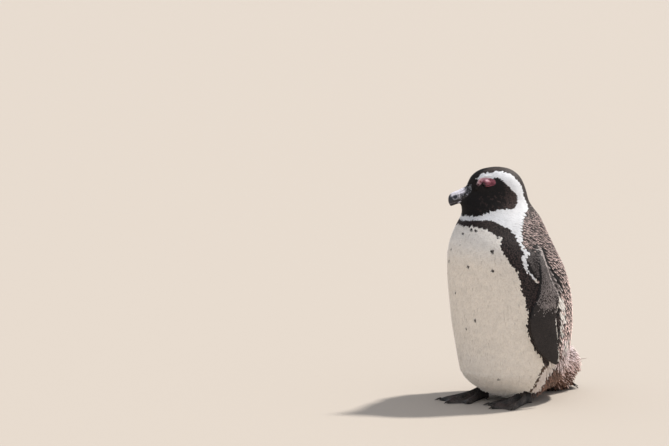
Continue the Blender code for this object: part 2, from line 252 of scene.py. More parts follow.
def new_material(name):
    """A material's node tree and its surface shader."""
    made = bpy.data.materials.new(name)
    made.use_nodes = True
    return made, made.node_tree, made.node_tree.nodes["Principled BSDF"]


# %% Light and floor
SUN_TURN, SUN_RISE = math.radians(157), math.radians(59)  # from the front, to its left
SUN_STRENGTH, SUN_SOFT = 3.8, math.radians(5)
SKY_STRENGTH = 0.70
FLOOR_SIZE = 160.0  # m

sun = bpy.data.objects.new("sun", bpy.data.lights.new("sun", "SUN"))
sun.data.energy = SUN_STRENGTH
sun.data.angle = SUN_SOFT
sun.data.color = linear("fffaf4")
shine = Vector((
    math.sin(SUN_TURN) * math.cos(SUN_RISE),
    -math.cos(SUN_TURN) * math.cos(SUN_RISE),
    math.sin(SUN_RISE),
))
sun.rotation_euler = shine.to_track_quat("Z", "Y").to_euler()
bpy.context.scene.collection.objects.link(sun)

world = bpy.data.worlds.new("pale sky")
world.use_nodes = True
feed(world.node_tree, world.node_tree.nodes["Background"], {
    "Color": (*linear("e9ebf2"), 1), "Strength": SKY_STRENGTH,
})
bpy.context.scene.world = world

bm = bmesh.new()
bmesh.ops.create_grid(bm, x_segments=1, y_segments=1, size=FLOOR_SIZE / 2)
floor_mesh = bpy.data.meshes.new("floor")
bm.to_mesh(floor_mesh)
bm.free()
floor = bpy.data.objects.new("floor", floor_mesh)
bpy.context.scene.collection.objects.link(floor)
plaster, tree, surface = new_material("painted plaster")
feed(tree, surface, {"Base Color": (*linear("bab1a6"), 1), "Roughness": 0.9})
floor_mesh.materials.append(plaster)
print("sun", SUN_STRENGTH, "and sky", SKY_STRENGTH, "over a floor of", FLOOR_SIZE, "m")

# %% [markdown]
# ## One skin under the whole coat
# The solids of head, neck, trunk, legs, flippers and tail meet at thin gaps, which must not
# show. Copies of them are swollen a little, so that they overlap, and a voxel remesh makes
# one closed skin of them. Smoothing takes the facets away. Then the skin is drawn in by the
# coat's depth, because the solids reach to the feathers' tips.

# %% Merged copies of the solids
LIMBS = ("tail", "leg_left", "leg_right", "flipper_left", "flipper_right")
TRUNK = ("head", "neck", "trunk")
SWELL = 0.3 * MM
MERGE = 0.01 * MM


def merged_copy(node):
    """A copy of a solid's mesh with its loose triangles joined, in a bmesh."""
    bm = bmesh.new()
    bm.from_mesh(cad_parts[node].data)
    bmesh.ops.remove_doubles(bm, verts=bm.verts, dist=MERGE)
    bmesh.ops.recalc_face_normals(bm, faces=bm.faces)
    if bm.calc_volume(signed=True) < 0:
        bmesh.ops.reverse_faces(bm, faces=bm.faces)
    bm.normal_update()
    return bm


def tree_of(nodes):
    """A search tree over several solids."""
    points, faces = [], []
    for node in nodes:
        bm = merged_copy(node)
        start = len(points)
        points += [vert.co.copy() for vert in bm.verts]
        faces += [[start + vert.index for vert in face.verts] for face in bm.faces]
        bm.free()
    return BVHTree.FromPolygons(points, faces)


def add_to(whole, bm, name):
    """Adds a bmesh to a larger one, and frees it."""
    part = bpy.data.meshes.new(name)
    bm.to_mesh(part)
    bm.free()
    whole.from_mesh(part)
    bpy.data.meshes.remove(part)


def object_of(name, bm):
    """A new object from a bmesh, at the origin."""
    mesh = bpy.data.meshes.new(name)
    bm.to_mesh(mesh)
    bm.free()
    mesh.shade_smooth()
    made = bpy.data.objects.new(name, mesh)
    bpy.context.scene.collection.objects.link(made)
    return made


def settle(made):
    """Applies an object's modifiers to its mesh."""
    graph = bpy.context.evaluated_depsgraph_get()
    old = made.data
    made.data = bpy.data.meshes.new_from_object(made.evaluated_get(graph))
    made.modifiers.clear()
    bpy.data.meshes.remove(old)
    return made


def voxels(made, size):
    """Remeshes an object's closed shells as one, on a grid of cubes."""
    step = made.modifiers.new("voxels", "REMESH")
    step.mode = "VOXEL"
    step.voxel_size = size
    step.adaptivity = 0
    return settle(made)


def points_of(mesh):
    """A mesh's points in metres, one row each."""
    found = np.empty(len(mesh.vertices) * 3, np.float32)
    mesh.vertices.foreach_get("co", found)
    return found.reshape(-1, 3).astype(float)


def normals_of(mesh):
    """The soft normal at each of a mesh's points."""
    found = np.empty(len(mesh.vertices) * 3, np.float32)
    mesh.vertex_normals.foreach_get("vector", found)
    return found.reshape(-1, 3).astype(float)


def put_points(mesh, points):
    """Moves a mesh's points to new places."""
    mesh.vertices.foreach_set("co", points.astype(np.float32).ravel())
    mesh.update()


def relax(mesh, rounds, share):
    """Moves each point towards the mean of its neighbours; share may vary by point."""
    ends = np.empty(len(mesh.edges) * 2, np.int32)
    mesh.edges.foreach_get("vertices", ends)
    a, b = ends.reshape(-1, 2).T
    points = points_of(mesh)
    count = np.bincount(np.r_[a, b], minlength=len(points))[:, None]
    for _ in range(rounds):
        total = np.stack([
            np.bincount(a, column[b], len(points)) + np.bincount(b, column[a], len(points))
            for column in points.T
        ], axis=1)
        points += (total / count - points) * share
    put_points(mesh, points)


# %% The skin as one closed mesh
VOXEL = 2.35 * MM
PLUG_FRONT, PLUG_HEIGHT, PLUG_SLOPE = 55.5, 404, 0.17  # where the bill leaves the face

skin_bm = bmesh.new()
for node in TRUNK + LIMBS + ("eye_left", "eye_right"):
    bm = merged_copy(node)
    for vert in bm.verts:
        vert.co += vert.normal * SWELL
    add_to(skin_bm, bm, node)

# The bill's root fills its socket in the head, cut off where the face ends.
face_point = pivot + head_forward * (PLUG_FRONT * MM) + Vector((0, 0, PLUG_HEIGHT * MM))
face_normal = (head_forward + Vector((0, 0, PLUG_SLOPE))).normalized()
for node in ("bill_upper", "bill_lower"):
    bm = merged_copy(node)
    for vert in bm.verts:
        vert.co += vert.normal * SWELL * 2
    bmesh.ops.bisect_plane(
        bm, geom=bm.verts[:] + bm.edges[:] + bm.faces[:],
        plane_co=face_point, plane_no=face_normal, clear_outer=True,
    )
    bmesh.ops.holes_fill(bm, edges=[e for e in bm.edges if e.is_boundary])
    add_to(skin_bm, bm, node)

skin = voxels(object_of("skin", skin_bm), VOXEL)
print("skin", len(skin.data.vertices), "points")

# %% Which limb each point of the skin belongs to
NEAR = 4 * MM


def limb_of(points):
    """0 for head, neck and trunk, or 1 and up for the limbs in their order."""
    found = np.zeros(len(points), int)
    for number, limb in enumerate(LIMBS, 1):
        low, high = (np.array(corner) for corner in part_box(limb))
        near = np.all((points > low - NEAR) & (points < high + NEAR), axis=1)
        for i in np.flatnonzero(near):
            here = Vector(points[i])
            to_limb = limb_trees[limb].find_nearest(here)[3]
            if to_limb < trunk_tree.find_nearest(here)[3]:
                found[i] = number
    return found


trunk_tree = tree_of(TRUNK)
limb_trees = {limb: tree_of([limb]) for limb in LIMBS}
skin_limb = limb_of(points_of(skin.data))
print("points by limb", np.bincount(skin_limb))

# %% Smooth it and draw it in by the coat's depth
DEPTH = {"body": 2.2, "head": 1.4, "limb": 1.0}  # mm from the feathers' tips to the skin
CHIN_AT, CHIN_PUFF, CHIN_REACH = (63, 360), 2.6, 12  # front and height of the puffed chin
FLIPPER_ROOT, ROOT_TOP, ROOT_ASIDE = (268, 292), (312, 330), (45, 65)  # they blend in over these
JOIN = 17 * MM  # reach of the round join of tail and rump
TAIL_FLESH = 148  # how far back it reaches, in mm
is_flat = np.isin(skin_limb, (1, 4, 5))
relax(skin.data, 14, np.where(is_flat, 0.12, 0.5)[:, None])
skin_points = points_of(skin.data)
height = in_mm(skin_points)[:, 2]
from_middle = np.abs(in_mm(skin_points)[:, 0])
at_root = ramp(height, *FLIPPER_ROOT) * (1 - ramp(height, *ROOT_TOP))
at_root *= ramp(from_middle, *ROOT_ASIDE)
relax(skin.data, 40, 0.5 * at_root[:, None])

# The tail's root is rounded into the rump, and its flesh ends before its quills do.
skin_points = points_of(skin.data)
by_tail = np.zeros(len(skin_points))
for i in np.flatnonzero((in_mm(skin_points)[:, 1] > 60) & (height < 115)):
    here = Vector(skin_points[i])
    other = trunk_tree if skin_limb[i] == 1 else limb_trees["tail"]
    by_tail[i] = 1 - ramp(other.find_nearest(here)[3] / JOIN, 0.6, 1)
relax(skin.data, 70, 0.5 * by_tail[:, None])
skin_points = points_of(skin.data)
beyond = np.maximum(in_mm(skin_points)[:, 1] - TAIL_FLESH, 0) * (skin_limb == 1)
skin_points[:, 1] -= 0.65 * beyond * (1 - ramp(height, 22, 44)) * MM
put_points(skin.data, skin_points)
depth = DEPTH["body"] + (DEPTH["head"] - DEPTH["body"]) * ramp(height, 325, 375)
depth = np.where(is_flat, DEPTH["limb"], depth)
front, side, _ = on_head(in_mm(skin_points))
from_chin = np.sqrt((front - CHIN_AT[0]) ** 2 + side ** 2 + (height - CHIN_AT[1]) ** 2)
depth -= CHIN_PUFF * np.exp(-(from_chin / CHIN_REACH) ** 2)
skin_points -= normals_of(skin.data) * (depth[:, None] * MM + SWELL)
put_points(skin.data, skin_points)
relax(skin.data, 3, 0.4)
print("skin drawn in,", len(skin.data.polygons), "faces")

# %% [markdown]
# ## Lids and the bare patch
# Over and before the eye the bird has no feathers: a patch of wrinkled pink skin, which is
# where it loses heat. The eye is shut against the light. So the skin is cut finer there,
# raised to the solids' surface, swollen over the eyeball as two lids with a thin slit, and
# given its folds and hollows. The same places give the colours later.

# %% The eye's own directions
EYE_AHEAD = 0.25  # the eyes look a little forwards
EYE_RADIUS = (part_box("eye_left")[1].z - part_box("eye_left")[0].z) / 2 / MM
LID = 0.9  # thickness over the eyeball, in mm
PATCH_MIDDLE, PATCH_HALF = (1.9, 3.4), (17.2, 7.2)  # towards the bill and up, in mm
PATCH_RISE, PATCH_FALL = 1.0, 0.25  # mm it is higher above its middle; how its front half falls
PATCH_POWER = 2.4  # 2 would make it an oval, and more makes it squarer
CORNER = (6.9, 1.0)  # the eye's inner corner, a hollow painted near black as shade
POCKET = (15.8, -1.0)  # a small hollow before it, painted dark red as shade
NOTCH = (8.6, -2.6)  # feathers that reach up to the corner from below
SLIT_MIDDLE, SLIT_HALF, SLIT_OPEN = -0.5, 6.5, 0.3
EYE_FOLDS = (  # towards the bill, up, reach, height: ridges and hollows before the eye
    (*CORNER, 2.2, -2.2),
    (*POCKET, 2.0, -1.6),
    (13.4, -0.6, 1.6, 0.7),
    (12.0, 4.4, 1.2, -0.7),
    (15.2, 4.0, 2.4, 0.7),
    (9.2, 6.2, 2.0, 0.6),
    (3.0, 6.0, 2.2, 0.4),
)


def eye_axes(side):
    """Towards the bill, up and outwards, at one eye."""
    sign = 1 if side == "left" else -1
    out = (head_forward * EYE_AHEAD + head_left * sign).normalized()
    fore = (head_forward - out * head_forward.dot(out)).normalized()
    up = Vector((0, 0, 1)) - out * out.z
    up = (up - fore * up.dot(fore)).normalized()
    return fore, up, out


def at_eye(points, side):
    """(towards the bill, up, out) in mm from the eyeball's middle."""
    from_eye = (np.asarray(points, float) - np.array(eyes[side])) / MM
    return [from_eye @ np.array(axis) for axis in eye_axes(side)]


def hump(fore, up, place, reach):
    """1 at a place near the eye, falling to 0 over its reach."""
    return np.exp(-((fore - place[0]) ** 2 + (up - place[1]) ** 2) / reach ** 2)


def patch_share(fore, up):
    """0 in the middle of the bare patch and 1 on its edge."""
    ahead, above = fore - PATCH_MIDDLE[0], up - PATCH_MIDDLE[1]
    x = np.abs(ahead) / PATCH_HALF[0]
    reach = PATCH_HALF[1] + np.where(above > 0, PATCH_RISE, PATCH_FALL * np.maximum(ahead, 0))
    y = np.abs(above) / reach
    notch = 1.1 * hump(fore, up, NOTCH, 3.6)
    return (x ** PATCH_POWER + y ** PATCH_POWER) ** (1 / PATCH_POWER) + notch


def slit_height(fore):
    """How high the line where the lids meet is: it bows down in its middle."""
    return -1.9 + 0.030 * (fore - 1.5) ** 2


# %% Finer skin at the eyes
FINER = ((26, 15), (21, 11.5), (11.5, 8.5))  # half lengths of the nested ovals, in mm


def cut_finer(mesh):
    """Cuts the faces round both eyes, once for each nested oval."""
    bm = bmesh.new()
    bm.from_mesh(mesh)
    for side in eyes:
        for long, high in FINER:
            centres = np.array([face.calc_center_median()[:] for face in bm.faces])
            fore, up, out = at_eye(centres, side)
            inside = ((fore - PATCH_MIDDLE[0]) / long) ** 2 + (up / high) ** 2 < 1
            faces = np.flatnonzero(inside & (out > -2))
            bm.faces.ensure_lookup_table()
            edges = {e for i in faces for e in bm.faces[i].edges}
            bmesh.ops.subdivide_edges(bm, edges=list(edges), cuts=1, use_grid_fill=True)
    bm.to_mesh(mesh)
    bm.free()


cut_finer(skin.data)
skin_points = points_of(skin.data)
near_eye = np.zeros(len(skin_points), bool)
for side in eyes:
    fore, up, out = at_eye(skin_points, side)
    near_eye |= (patch_share(fore, up) < 1.25) & (out > -2)
relax(skin.data, 6, np.where(near_eye, 0.5, 0)[:, None])
print("skin with finer eyes", len(skin.data.vertices), "points,", near_eye.sum(), "at the eyes")

# %% Shape the lids and folds
RAISE = 0.6  # bare skin has no coat over it
SOCKET = 6.4  # how far out the skin reaches inside the slit
SOFT = 1.2  # mm over which the lids round into the face


def fan(fore, up):
    """Fine wrinkles that spread from the eye's inner corner: 1 on a crest, -1 in a crease."""
    turn = np.arctan2(up - CORNER[1], CORNER[0] - fore)
    far = np.hypot(up - CORNER[1], CORNER[0] - fore)
    return np.cos(turn * 11 + 0.25 * far) * ramp(far, 2.5, 6)


skin_points = points_of(skin.data)
for side in eyes:
    fore, up, out = at_eye(skin_points, side)
    share = patch_share(fore, up)
    use = np.flatnonzero((share < 1.5) & (out > -4))
    fore, up, out, share = (values[use] for values in (fore, up, out, share))
    level = out + RAISE * (1 - ramp(share, 0.85, 1.15))
    dome = np.sqrt(np.maximum((EYE_RADIUS + LID) ** 2 - fore ** 2 - up ** 2, 0))
    level = np.logaddexp(level / SOFT, dome / SOFT) * SOFT
    level -= SOFT * math.log(2) * np.exp(-np.abs(out + RAISE - dome) / SOFT)
    from_slit = up - slit_height(fore)
    middle_lid = 1 - ramp(np.abs(fore), 4, 9)
    level += 0.35 * np.exp(-((from_slit + 1.7) / 0.9) ** 2) * middle_lid
    level -= 0.30 * np.exp(-((from_slit - 5.0) / 0.9) ** 2) * middle_lid
    for place_fore, place_up, reach, rise in EYE_FOLDS:
        level += rise * hump(fore, up, (place_fore, place_up), reach)
    level += 0.5 * np.exp(-((share - 0.88) / 0.08) ** 2) * ramp(fore, 6, 13)
    wrinkled = 1 - ramp(share, 0.8, 1.05)
    level += wrinkled * (0.16 * ripple(in_mm(skin_points[use]), 2.1, 31) + 0.22 * fan(fore, up))
    open_by = SLIT_OPEN * np.sqrt(np.maximum(1 - ((fore - SLIT_MIDDLE) / SLIT_HALF) ** 2, 0))
    shut = ramp(np.abs(from_slit), open_by, open_by + 0.35)
    level = np.where(open_by > 0.05, SOCKET + (level - SOCKET) * shut, level)
    moved = np.array(eye_axes(side)[2]) * ((level - out)[:, None] * MM)
    skin_points[use] += moved
put_points(skin.data, skin_points)
print("lids shaped; eyeball radius", round(EYE_RADIUS, 2), "mm")

# %% [markdown]
# ## The markings
# A penguin's pattern is a few bold edges: a black mask inside a white ring, a black crown
# that runs down the nape, a white collar, and a black horseshoe across the breast and down
# each flank. Each edge is a short line of angle against height, the same on both sides,
# and a soft ripple breaks it up as feather tips do. The skin and the feathers ask the same
# function, so they agree.

# %% The lines of the pattern, in degrees and millimetres
# These run round the bird, as (angle, height):
CHIN = (
    (0, 346.5), (16, 346.5), (24, 347), (31, 348.5), (41, 353), (51, 356.5), (72, 360),
    (106, 361), (118, 366),
)
MASK_TOP = ((16, 414), (56, 414), (64, 417.5), (75, 418), (86, 415), (97, 408), (104, 404))
CROWN = (
    (13, 407), (15.5, 416), (17, 420.5), (22, 424), (33, 425.4), (47, 425.6), (65, 427),
    (90, 428.7),
)
COLLAR = (
    (0, 338), (22, 340.3), (36, 341), (45, 341.6), (52, 339.6), (57, 335.3), (62, 331),
    (68, 327), (71, 322),
)
BIB = (
    (0, 328), (13, 330), (20, 329.3), (27, 328), (33, 325.4), (38, 319.6), (42, 315.6),
    (47, 312.6), (51, 309.6),
)
RUMP_TOP = ((92, 96), (125, 96), (143, 66), (158, 66), (168, 100), (180, 104))
RUMP_FRONT = 92

# These run up it, as (height, angle):
MASK_REAR = (
    (360, 112), (366, 117), (372, 126), (379, 128.5), (386, 130), (389, 125), (396, 114),
    (402, 107), (407, 101), (412, 97), (420, 97),
)
NAPE = (
    (235, 67.5), (246, 65), (258, 63.5), (268, 65), (274, 67), (281, 72.5), (286, 73.3),
    (291, 71), (300, 72.3), (305, 73.6), (314, 78.6), (326, 89), (340, 107), (348, 122),
    (355, 135), (360, 146), (368, 151), (385, 150), (400, 150), (406, 147), (412, 141),
    (418, 135), (423, 126), (426.5, 110), (428, 92),
)
BAND_INNER = (
    (21, 66), (32, 66.4), (47, 67.1), (63, 69.7), (76, 74), (90, 68), (105, 61),
    (125, 55.5), (145, 53), (175, 54.2), (196, 53.5), (205, 52.2), (214, 50.6), (233, 50.8),
    (250, 50), (257, 48.4), (263, 45.4), (277, 44.6), (284, 43.6), (292, 42.0), (299, 42.8),
    (306, 45.8), (311, 49),
)
BAND_OUTER = (
    (21, 68.6), (31, 69), (50, 70.2), (63, 73.4), (75, 80), (95, 91), (150, 94), (190, 92),
    (215, 80), (233, 66), (243, 62.6), (250, 60.4), (258, 59.3), (271, 60.6), (282, 65.0),
    (296, 67), (303, 67), (310, 67), (317, 68.8), (323, 70),
)
FLANK_REAR = (
    (21, 84), (38, 82), (50, 85), (61, 88.6), (70, 94), (91, 99.9), (105, 98.2),
    (123, 99.8), (142, 101), (154, 104.8), (166, 104), (179, 102.8), (191, 99.2), (200, 95),
    (235, 67.5),
)
SHOULDER_FOLD = (
    (200, 104), (206, 103.6), (214, 102), (224, 99.5), (234, 96.8), (244, 94.6),
    (255, 93.2), (266, 92.4), (275, 92), (284, 91), (291, 88.5), (299, 86.5),
)

# The dark spots on this bird's breast: angle, height, half width in mm.
FLECKS = (
    (0.2, 317.3, 1.6), (14, 324.8, 2.4), (19.9, 323.7, 2.2), (-3.8, 296, 1.2), (-24, 285, 2.2),
    (31.5, 287.6, 2.8), (2.4, 258.3, 2.6), (26.8, 254.5, 2.6), (3.3, 159.2, 2.2), (-9, 140, 1.1),
    (22.4, 50.8, 1.5), (43.7, 312.7, 2.4), (47, 280, 2.2), (-38, 301, 2.2), (-31, 262, 2.4),
    (-43, 236, 2.0), (-20, 205, 1.6),
)

# %% What each kind of plumage looks like
KINDS = {  # colour of the vane, of its tip, and how much single feathers differ
    "white": ("f3eee7", "faf7f2", 0.02),
    "collar": ("f1f3f6", "fcfdff", 0.02),
    "frost": ("3c3f45", "b4b9c0", 0.30),
    "mask": ("0b0a0a", "211a19", 0.35),
    # cheek: worn brown tips and a painted sheen on the mask
    "cheek": ("120d0d", "4f3f3b", 0.40),
    "band": ("110d0d", "4f403d", 0.35),
    "line": ("4d3d33", "75604f", 0.15),
    "crown": ("151212", "574d49", 0.28),
    "back": ("0d0807", "f1d6ce", 0.42),
    # crease: painted shade, in the armpit, in the fold behind the shoulder and as the flipper's
    # shadow
    "crease": ("0c0909", "2a2220", 0.25),
    "ridge": ("6e6461", "cdc3bf", 0.15),
    "cream": ("e6d9cf", "f3e9e2", 0.06),
    "vent": ("3a2720", "9a7c6d", 0.35),
    "rump": ("705754", "f8e8e8", 0.28),
    "flipper": ("282322", "443d3a", 0.20),
    # shoulder: grey-tipped feathers, painted paler on the flipper's top as sunlight
    "shoulder": ("383231", "a19794", 0.28),
    # elbow: a painted highlight across the flipper's bend
    "elbow": ("706866", "b9afac", 0.20),
    # lead: the flipper's leading edge, painted darker as shade
    "lead": ("161314", "201c1d", 0.20),
    "rim": ("e2dcd5", "f5f1ea", 0.05),
    "lining": ("cfc6bf", "ebe5de", 0.10),
    "tail": ("1d1715", "6b5a53", 0.30),
}
KIND = {name: number for number, name in enumerate(KINDS)}
VANE_COLOUR = np.array([linear(vane) for vane, _, _ in KINDS.values()])
TIP_COLOUR = np.array([linear(tip) for _, tip, _ in KINDS.values()])
VARIES = np.array([varies for _, _, varies in KINDS.values()])
# How far along the vane its tip's colour starts, and how much painted shade darkens its side edges:
PALE_FROM = {"back": 0.5, "rump": 0.1, "vent": 0.3, "ridge": 0.4, "shoulder": 0.5}
EDGE_SHADE = {"back": 0.7, "rump": 0.2, "vent": 0.5, "shoulder": 0.4}
USUAL_PALE_FROM = 0.72
pale_from = np.array([PALE_FROM.get(name, USUAL_PALE_FROM) for name in KINDS])
edge_shade = np.array([EDGE_SHADE.get(name, 0) for name in KINDS])

# %% The flippers' own plane
FLIPPER_FACING = {"left": math.radians(66), "right": math.radians(79)}

# Height, and how far forwards its leading and trailing edges lie:
FLIPPER_LEAD = (
    (75, -36), (90, -9), (106, 6.5), (132, 19.5), (158, 25), (178, 24), (194, 18.5),
    (208, 10.5), (228, 8), (262, 10), (305, 3),
)
FLIPPER_TRAIL = (
    (75, -42), (90, -47), (106, -43.5), (132, -39), (158, -34), (178, -35), (194, -40.5),
    (208, -38), (228, -28), (262, -17), (305, -4),
)


def flipper_ways(side):
    """Forwards along the flipper's plane, and outwards from the body."""
    sign = 1 if side == "left" else -1
    facing = FLIPPER_FACING[side]
    fore = np.array([-sign * math.cos(facing), -math.sin(facing), 0])
    out = np.array([sign * math.sin(facing), -math.cos(facing), 0])
    return fore, out


# %% The pattern itself
FLANK_TOP = 235  # mm up: the dark back starts at FLANK_REAR below this, and at NAPE above it
CROWN_REAR = (428, 436)  # mm up, over which the crown closes behind
VENT_TOP = 74


def body_kinds(mm):
    """The kind of plumage at points of the head, neck and trunk."""
    angle, z = around(mm)
    wide = np.abs(angle)
    z = z + 1.3 * ripple(mm, 7, 11)
    wide = wide + 1.3 * ripple(mm, 6, 12) * edge(z, ((340, 1.0), (380, 1.6)))
    fine = ripple(mm, 3.2, 18)
    kinds = np.full(len(mm), KIND["white"])

    # The back, from the flanks up to the nape.
    closing = edge(z, ((CROWN_REAR[0], 92), (CROWN_REAR[1], 0)))
    nape = np.where(z > CROWN_REAR[0], closing, edge(z, NAPE))
    flank = (z < FLANK_TOP) & (wide > edge(z, FLANK_REAR))
    behind = (z >= FLANK_TOP) & (wide > nape)
    kinds[flank | behind] = KIND["back"]

    # The folded shoulder, with painted shade in a crease before it and in one behind it that has a
    # pale ridge.
    kinds[behind & (z + 10 * fine < 292) & (wide < 80)] = KIND["shoulder"]
    kinds[behind & (z < 266) & (wide < nape + 3.6)] = KIND["crease"]
    folded = (flank | behind) & (z > 204) & (wide > 78)
    past = wide - edge(z, SHOULDER_FOLD)
    kinds[folded & (z + 8 * fine < 290) & (past < -3.2)] = KIND["shoulder"]
    kinds[folded & (z + 8 * fine < 293) & (past > -3.6) & (past < -1.4)] = KIND["ridge"]
    kinds[folded & (z + 8 * fine < 299) & (np.abs(past) < 1.6)] = KIND["crease"]

    # The crown, and the mixed feathers where the back ends low on the flank.
    over = (z > edge(wide, CROWN)) & (z > 400)
    kinds[((z + 16 * fine > 345) & behind) | over] = KIND["crown"]
    kinds[flank & (z < 112) & (wide < 118) & (fine > 0.25)] = KIND["white"]
    speckled = fine > edge(z, ((100, -0.4), (125, -0.05), (150, 0.25), (175, 0.5)))
    kinds[~flank & (z < 175) & (wide > 91) & speckled] = KIND["back"]

    # The horseshoe: all inside its outer edge that isn't the white within it.
    bib = (z < edge(wide, BIB)) & ((wide < edge(z, BAND_INNER)) | (z > 309.5) & (wide < 50))
    band = (z < edge(wide, COLLAR)) & (wide < edge(z, BAND_OUTER)) & ~bib
    kinds[band] = np.where(z[band] < 72, KIND["line"], KIND["band"])

    # The face's mask, with browner feathers on the cheek: partly worn brown tips, partly a painted
    # sheen.
    mask = (z > edge(wide, CHIN)) & (wide < edge(z, MASK_REAR)) & (z < edge(wide, MASK_TOP))
    kinds[mask | ((z > 396) & (wide < 15.5))] = KIND["mask"]
    kinds[mask & (wide > 96 + 22 * ripple(mm, 2.6, 15)) & (z < 408)] = KIND["cheek"]
    kinds[mask & (z < 386) & (wide > 30) & (ripple(mm, 8, 23) + 0.8 * fine > 0.55)] = KIND["cheek"]

    # The soiled lower feathers and the ruffled rump.
    low = (z < VENT_TOP) & (wide > edge(z, FLANK_REAR))
    kinds[(z < VENT_TOP) & (wide > edge(z, BAND_OUTER)) & ~low] = KIND["cream"]
    kinds[low] = KIND["vent"]
    rump = (z + 18 * fine < edge(wide, RUMP_TOP)) & (wide > RUMP_FRONT)
    rump &= z > 62 - 0.5 * (wide - RUMP_FRONT)
    kinds[rump] = KIND["rump"]
    kinds[rump & (ripple(mm, 7, 19) + 0.7 * fine > 0.35 + 0.9 * ramp(z, 50, 85))] = KIND["vent"]
    kinds[rump & (wide < 110) & (z > 70) & (fine > 0.0)] = KIND["vent"]

    # The white collar, and the frosted feathers over the bill's root.
    outer = (z > edge(wide, COLLAR)) | (wide > edge(z, BAND_OUTER))
    kinds[(kinds == KIND["white"]) & outer & (z > FLANK_TOP)] = KIND["collar"]
    front, side, _ = on_head(mm)
    frost = (front + fine > 51) & (np.abs(side) < 10) & (z > 391) & (z < 404) & (fine > -0.3)
    kinds[frost] = KIND["frost"]
    return kinds


def fleck_share(mm):
    """1 inside the dark flecks of the breast and 0 outside them."""
    angle, z = around(mm)
    reach = np.hypot(mm[:, 0], mm[:, 1] - edge(z, [row[:2] for row in SPINE]))
    share = np.zeros(len(mm))
    for fleck_angle, fleck_z, half in FLECKS:
        across = np.radians(angle - fleck_angle) * reach
        share = np.maximum(share, 1 - ramp(np.hypot(across, z - fleck_z), half - 0.7, half + 0.9))
    return share


def flipper_kinds(mm, outside, side):
    """The kind of plumage at points of one flipper."""
    fore, _ = flipper_ways(side)
    across = mm @ fore + 0.8 * ripple(mm, 6, 13)
    z = mm[:, 2]
    lead, trail = edge(z, FLIPPER_LEAD), edge(z, FLIPPER_TRAIL)
    kinds = np.full(len(mm), KIND["flipper"])
    fading = ripple(mm, 3, 16)
    # The flipper's top gets the paler shoulder feathers, partly as painted sunlight.
    kinds[z > 192 + 22 * fading] = KIND["shoulder"]
    # A band across the flipper's bend is painted pale as a highlight.
    elbow = (np.abs(z - 186) < 11 * (0.4 + fading)) & (across < 4) & (across > -28)
    kinds[elbow] = KIND["elbow"]
    kinds[(across < trail + 5) & (z > 198)] = KIND["ridge"]
    # The leading edge is painted darker as shade.
    kinds[(across > lead - 5 - 4 * ramp(z, 200, 260)) & (z > 165)] = KIND["lead"]
    inner = ~outside & (across < lead - 5) & (across > trail + 3) & (z > 92)
    mottled = ripple(mm, 16, 14) > edge(z, ((80, -0.1), (150, 0.35), (250, 0.6)))
    kinds[inner & ~mottled] = KIND["lining"]
    kinds[(across < trail + 4.6) & (z < 197) & (z > 82)] = KIND["rim"]
    return kinds


TAIL_DARK = 17  # mm to each side of the tail's middle line
# Body feathers this near a flipper are painted dark as its shadow.
FLIPPER_SHADOW = ((110, 3.2), (200, 3.6), (212, 6.5))  # height, mm of dark feathers by the flipper


def kinds_at(points, limbs, outside):
    """The kind of plumage of each point, which may lie on any limb."""
    mm = in_mm(points)
    kinds = body_kinds(mm)
    strands = ripple(mm, 7, 19) + 0.8 * ripple(mm, 3, 20) + 0.9 * (1 - ramp(mm[:, 2], 18, 45))
    on_tail = limbs == 1
    kinds[on_tail] = np.where(strands[on_tail] > 0.35, KIND["vent"], KIND["rump"])
    middle_tail = on_tail & (np.abs(mm[:, 0]) + 5 * ripple(mm, 3, 20) < TAIL_DARK)
    kinds[middle_tail] = KIND["tail"]
    # Body feathers close to a flipper's edge get the crease kind, as the flipper's painted shadow.
    for side, sign in (("left", 1), ("right", -1)):
        height = mm[:, 2] + 7 * ripple(mm, 3.2, 22)
        may = (limbs == 0) & (mm[:, 0] * sign > 75) & (height > 110) & (height < 264)
        may &= (kinds != KIND["shoulder"]) & (kinds != KIND["ridge"])
        for i in np.flatnonzero(may & (np.abs(around(mm)[0]) > 72)):
            apart = limb_trees["flipper_" + side].find_nearest(Vector(points[i]))[3]
            if apart < edge(mm[i, 2], FLIPPER_SHADOW) * MM:
                kinds[i] = KIND["crease"]
    legs = np.isin(limbs, (2, 3))
    kinds[legs] = np.where(mm[legs, 1] > 8, KIND["vent"], KIND["white"])
    for number, side in ((4, "left"), (5, "right")):
        on_it = limbs == number
        kinds[on_it] = flipper_kinds(mm[on_it], outside[on_it], side)
    return kinds


def faces_outside(limbs, normals):
    """Whether each point of a flipper is on its outer face."""
    found = np.zeros(len(limbs), bool)
    for number, side in ((4, "left"), (5, "right")):
        found |= (limbs == number) & (normals @ flipper_ways(side)[1] > 0)
    return found


# %% Colour the skin
# dark and pocket are painted shade, for the slit and the hollows before the eye
PINK = palette(
    plain="8f4856", deep="6a2836", light="d9aab5", dark="1f070c", pocket="3d0f19", rim="cfc0c4",
)
# The three light spots are painted highlights on the lid and two raised folds; the deep spot 12 mm
# ahead is painted shade in a crease.
PINK_SPOTS = (  # colour, strength, place before and above the eye, reach
    ("light", 0.8, (1.0, 7.6), 2.6),
    ("light", 0.9, (15.5, 3.6), 3.6),
    ("light", 0.7, (9.4, 6.6), 2.0),
    ("deep", 0.9, (-8.0, 1.5), 4.0),
    ("deep", 1.2, (12.0, 4.4), 1.5),
)
UNDER_COAT = 0.8  # the skin is darker than the feathers over it


def mixed(colours, other, share):
    """Colours moved towards another by a share each, kept within 0 and 1."""
    return colours + (other - colours) * np.clip(share, 0, 1)[:, None]


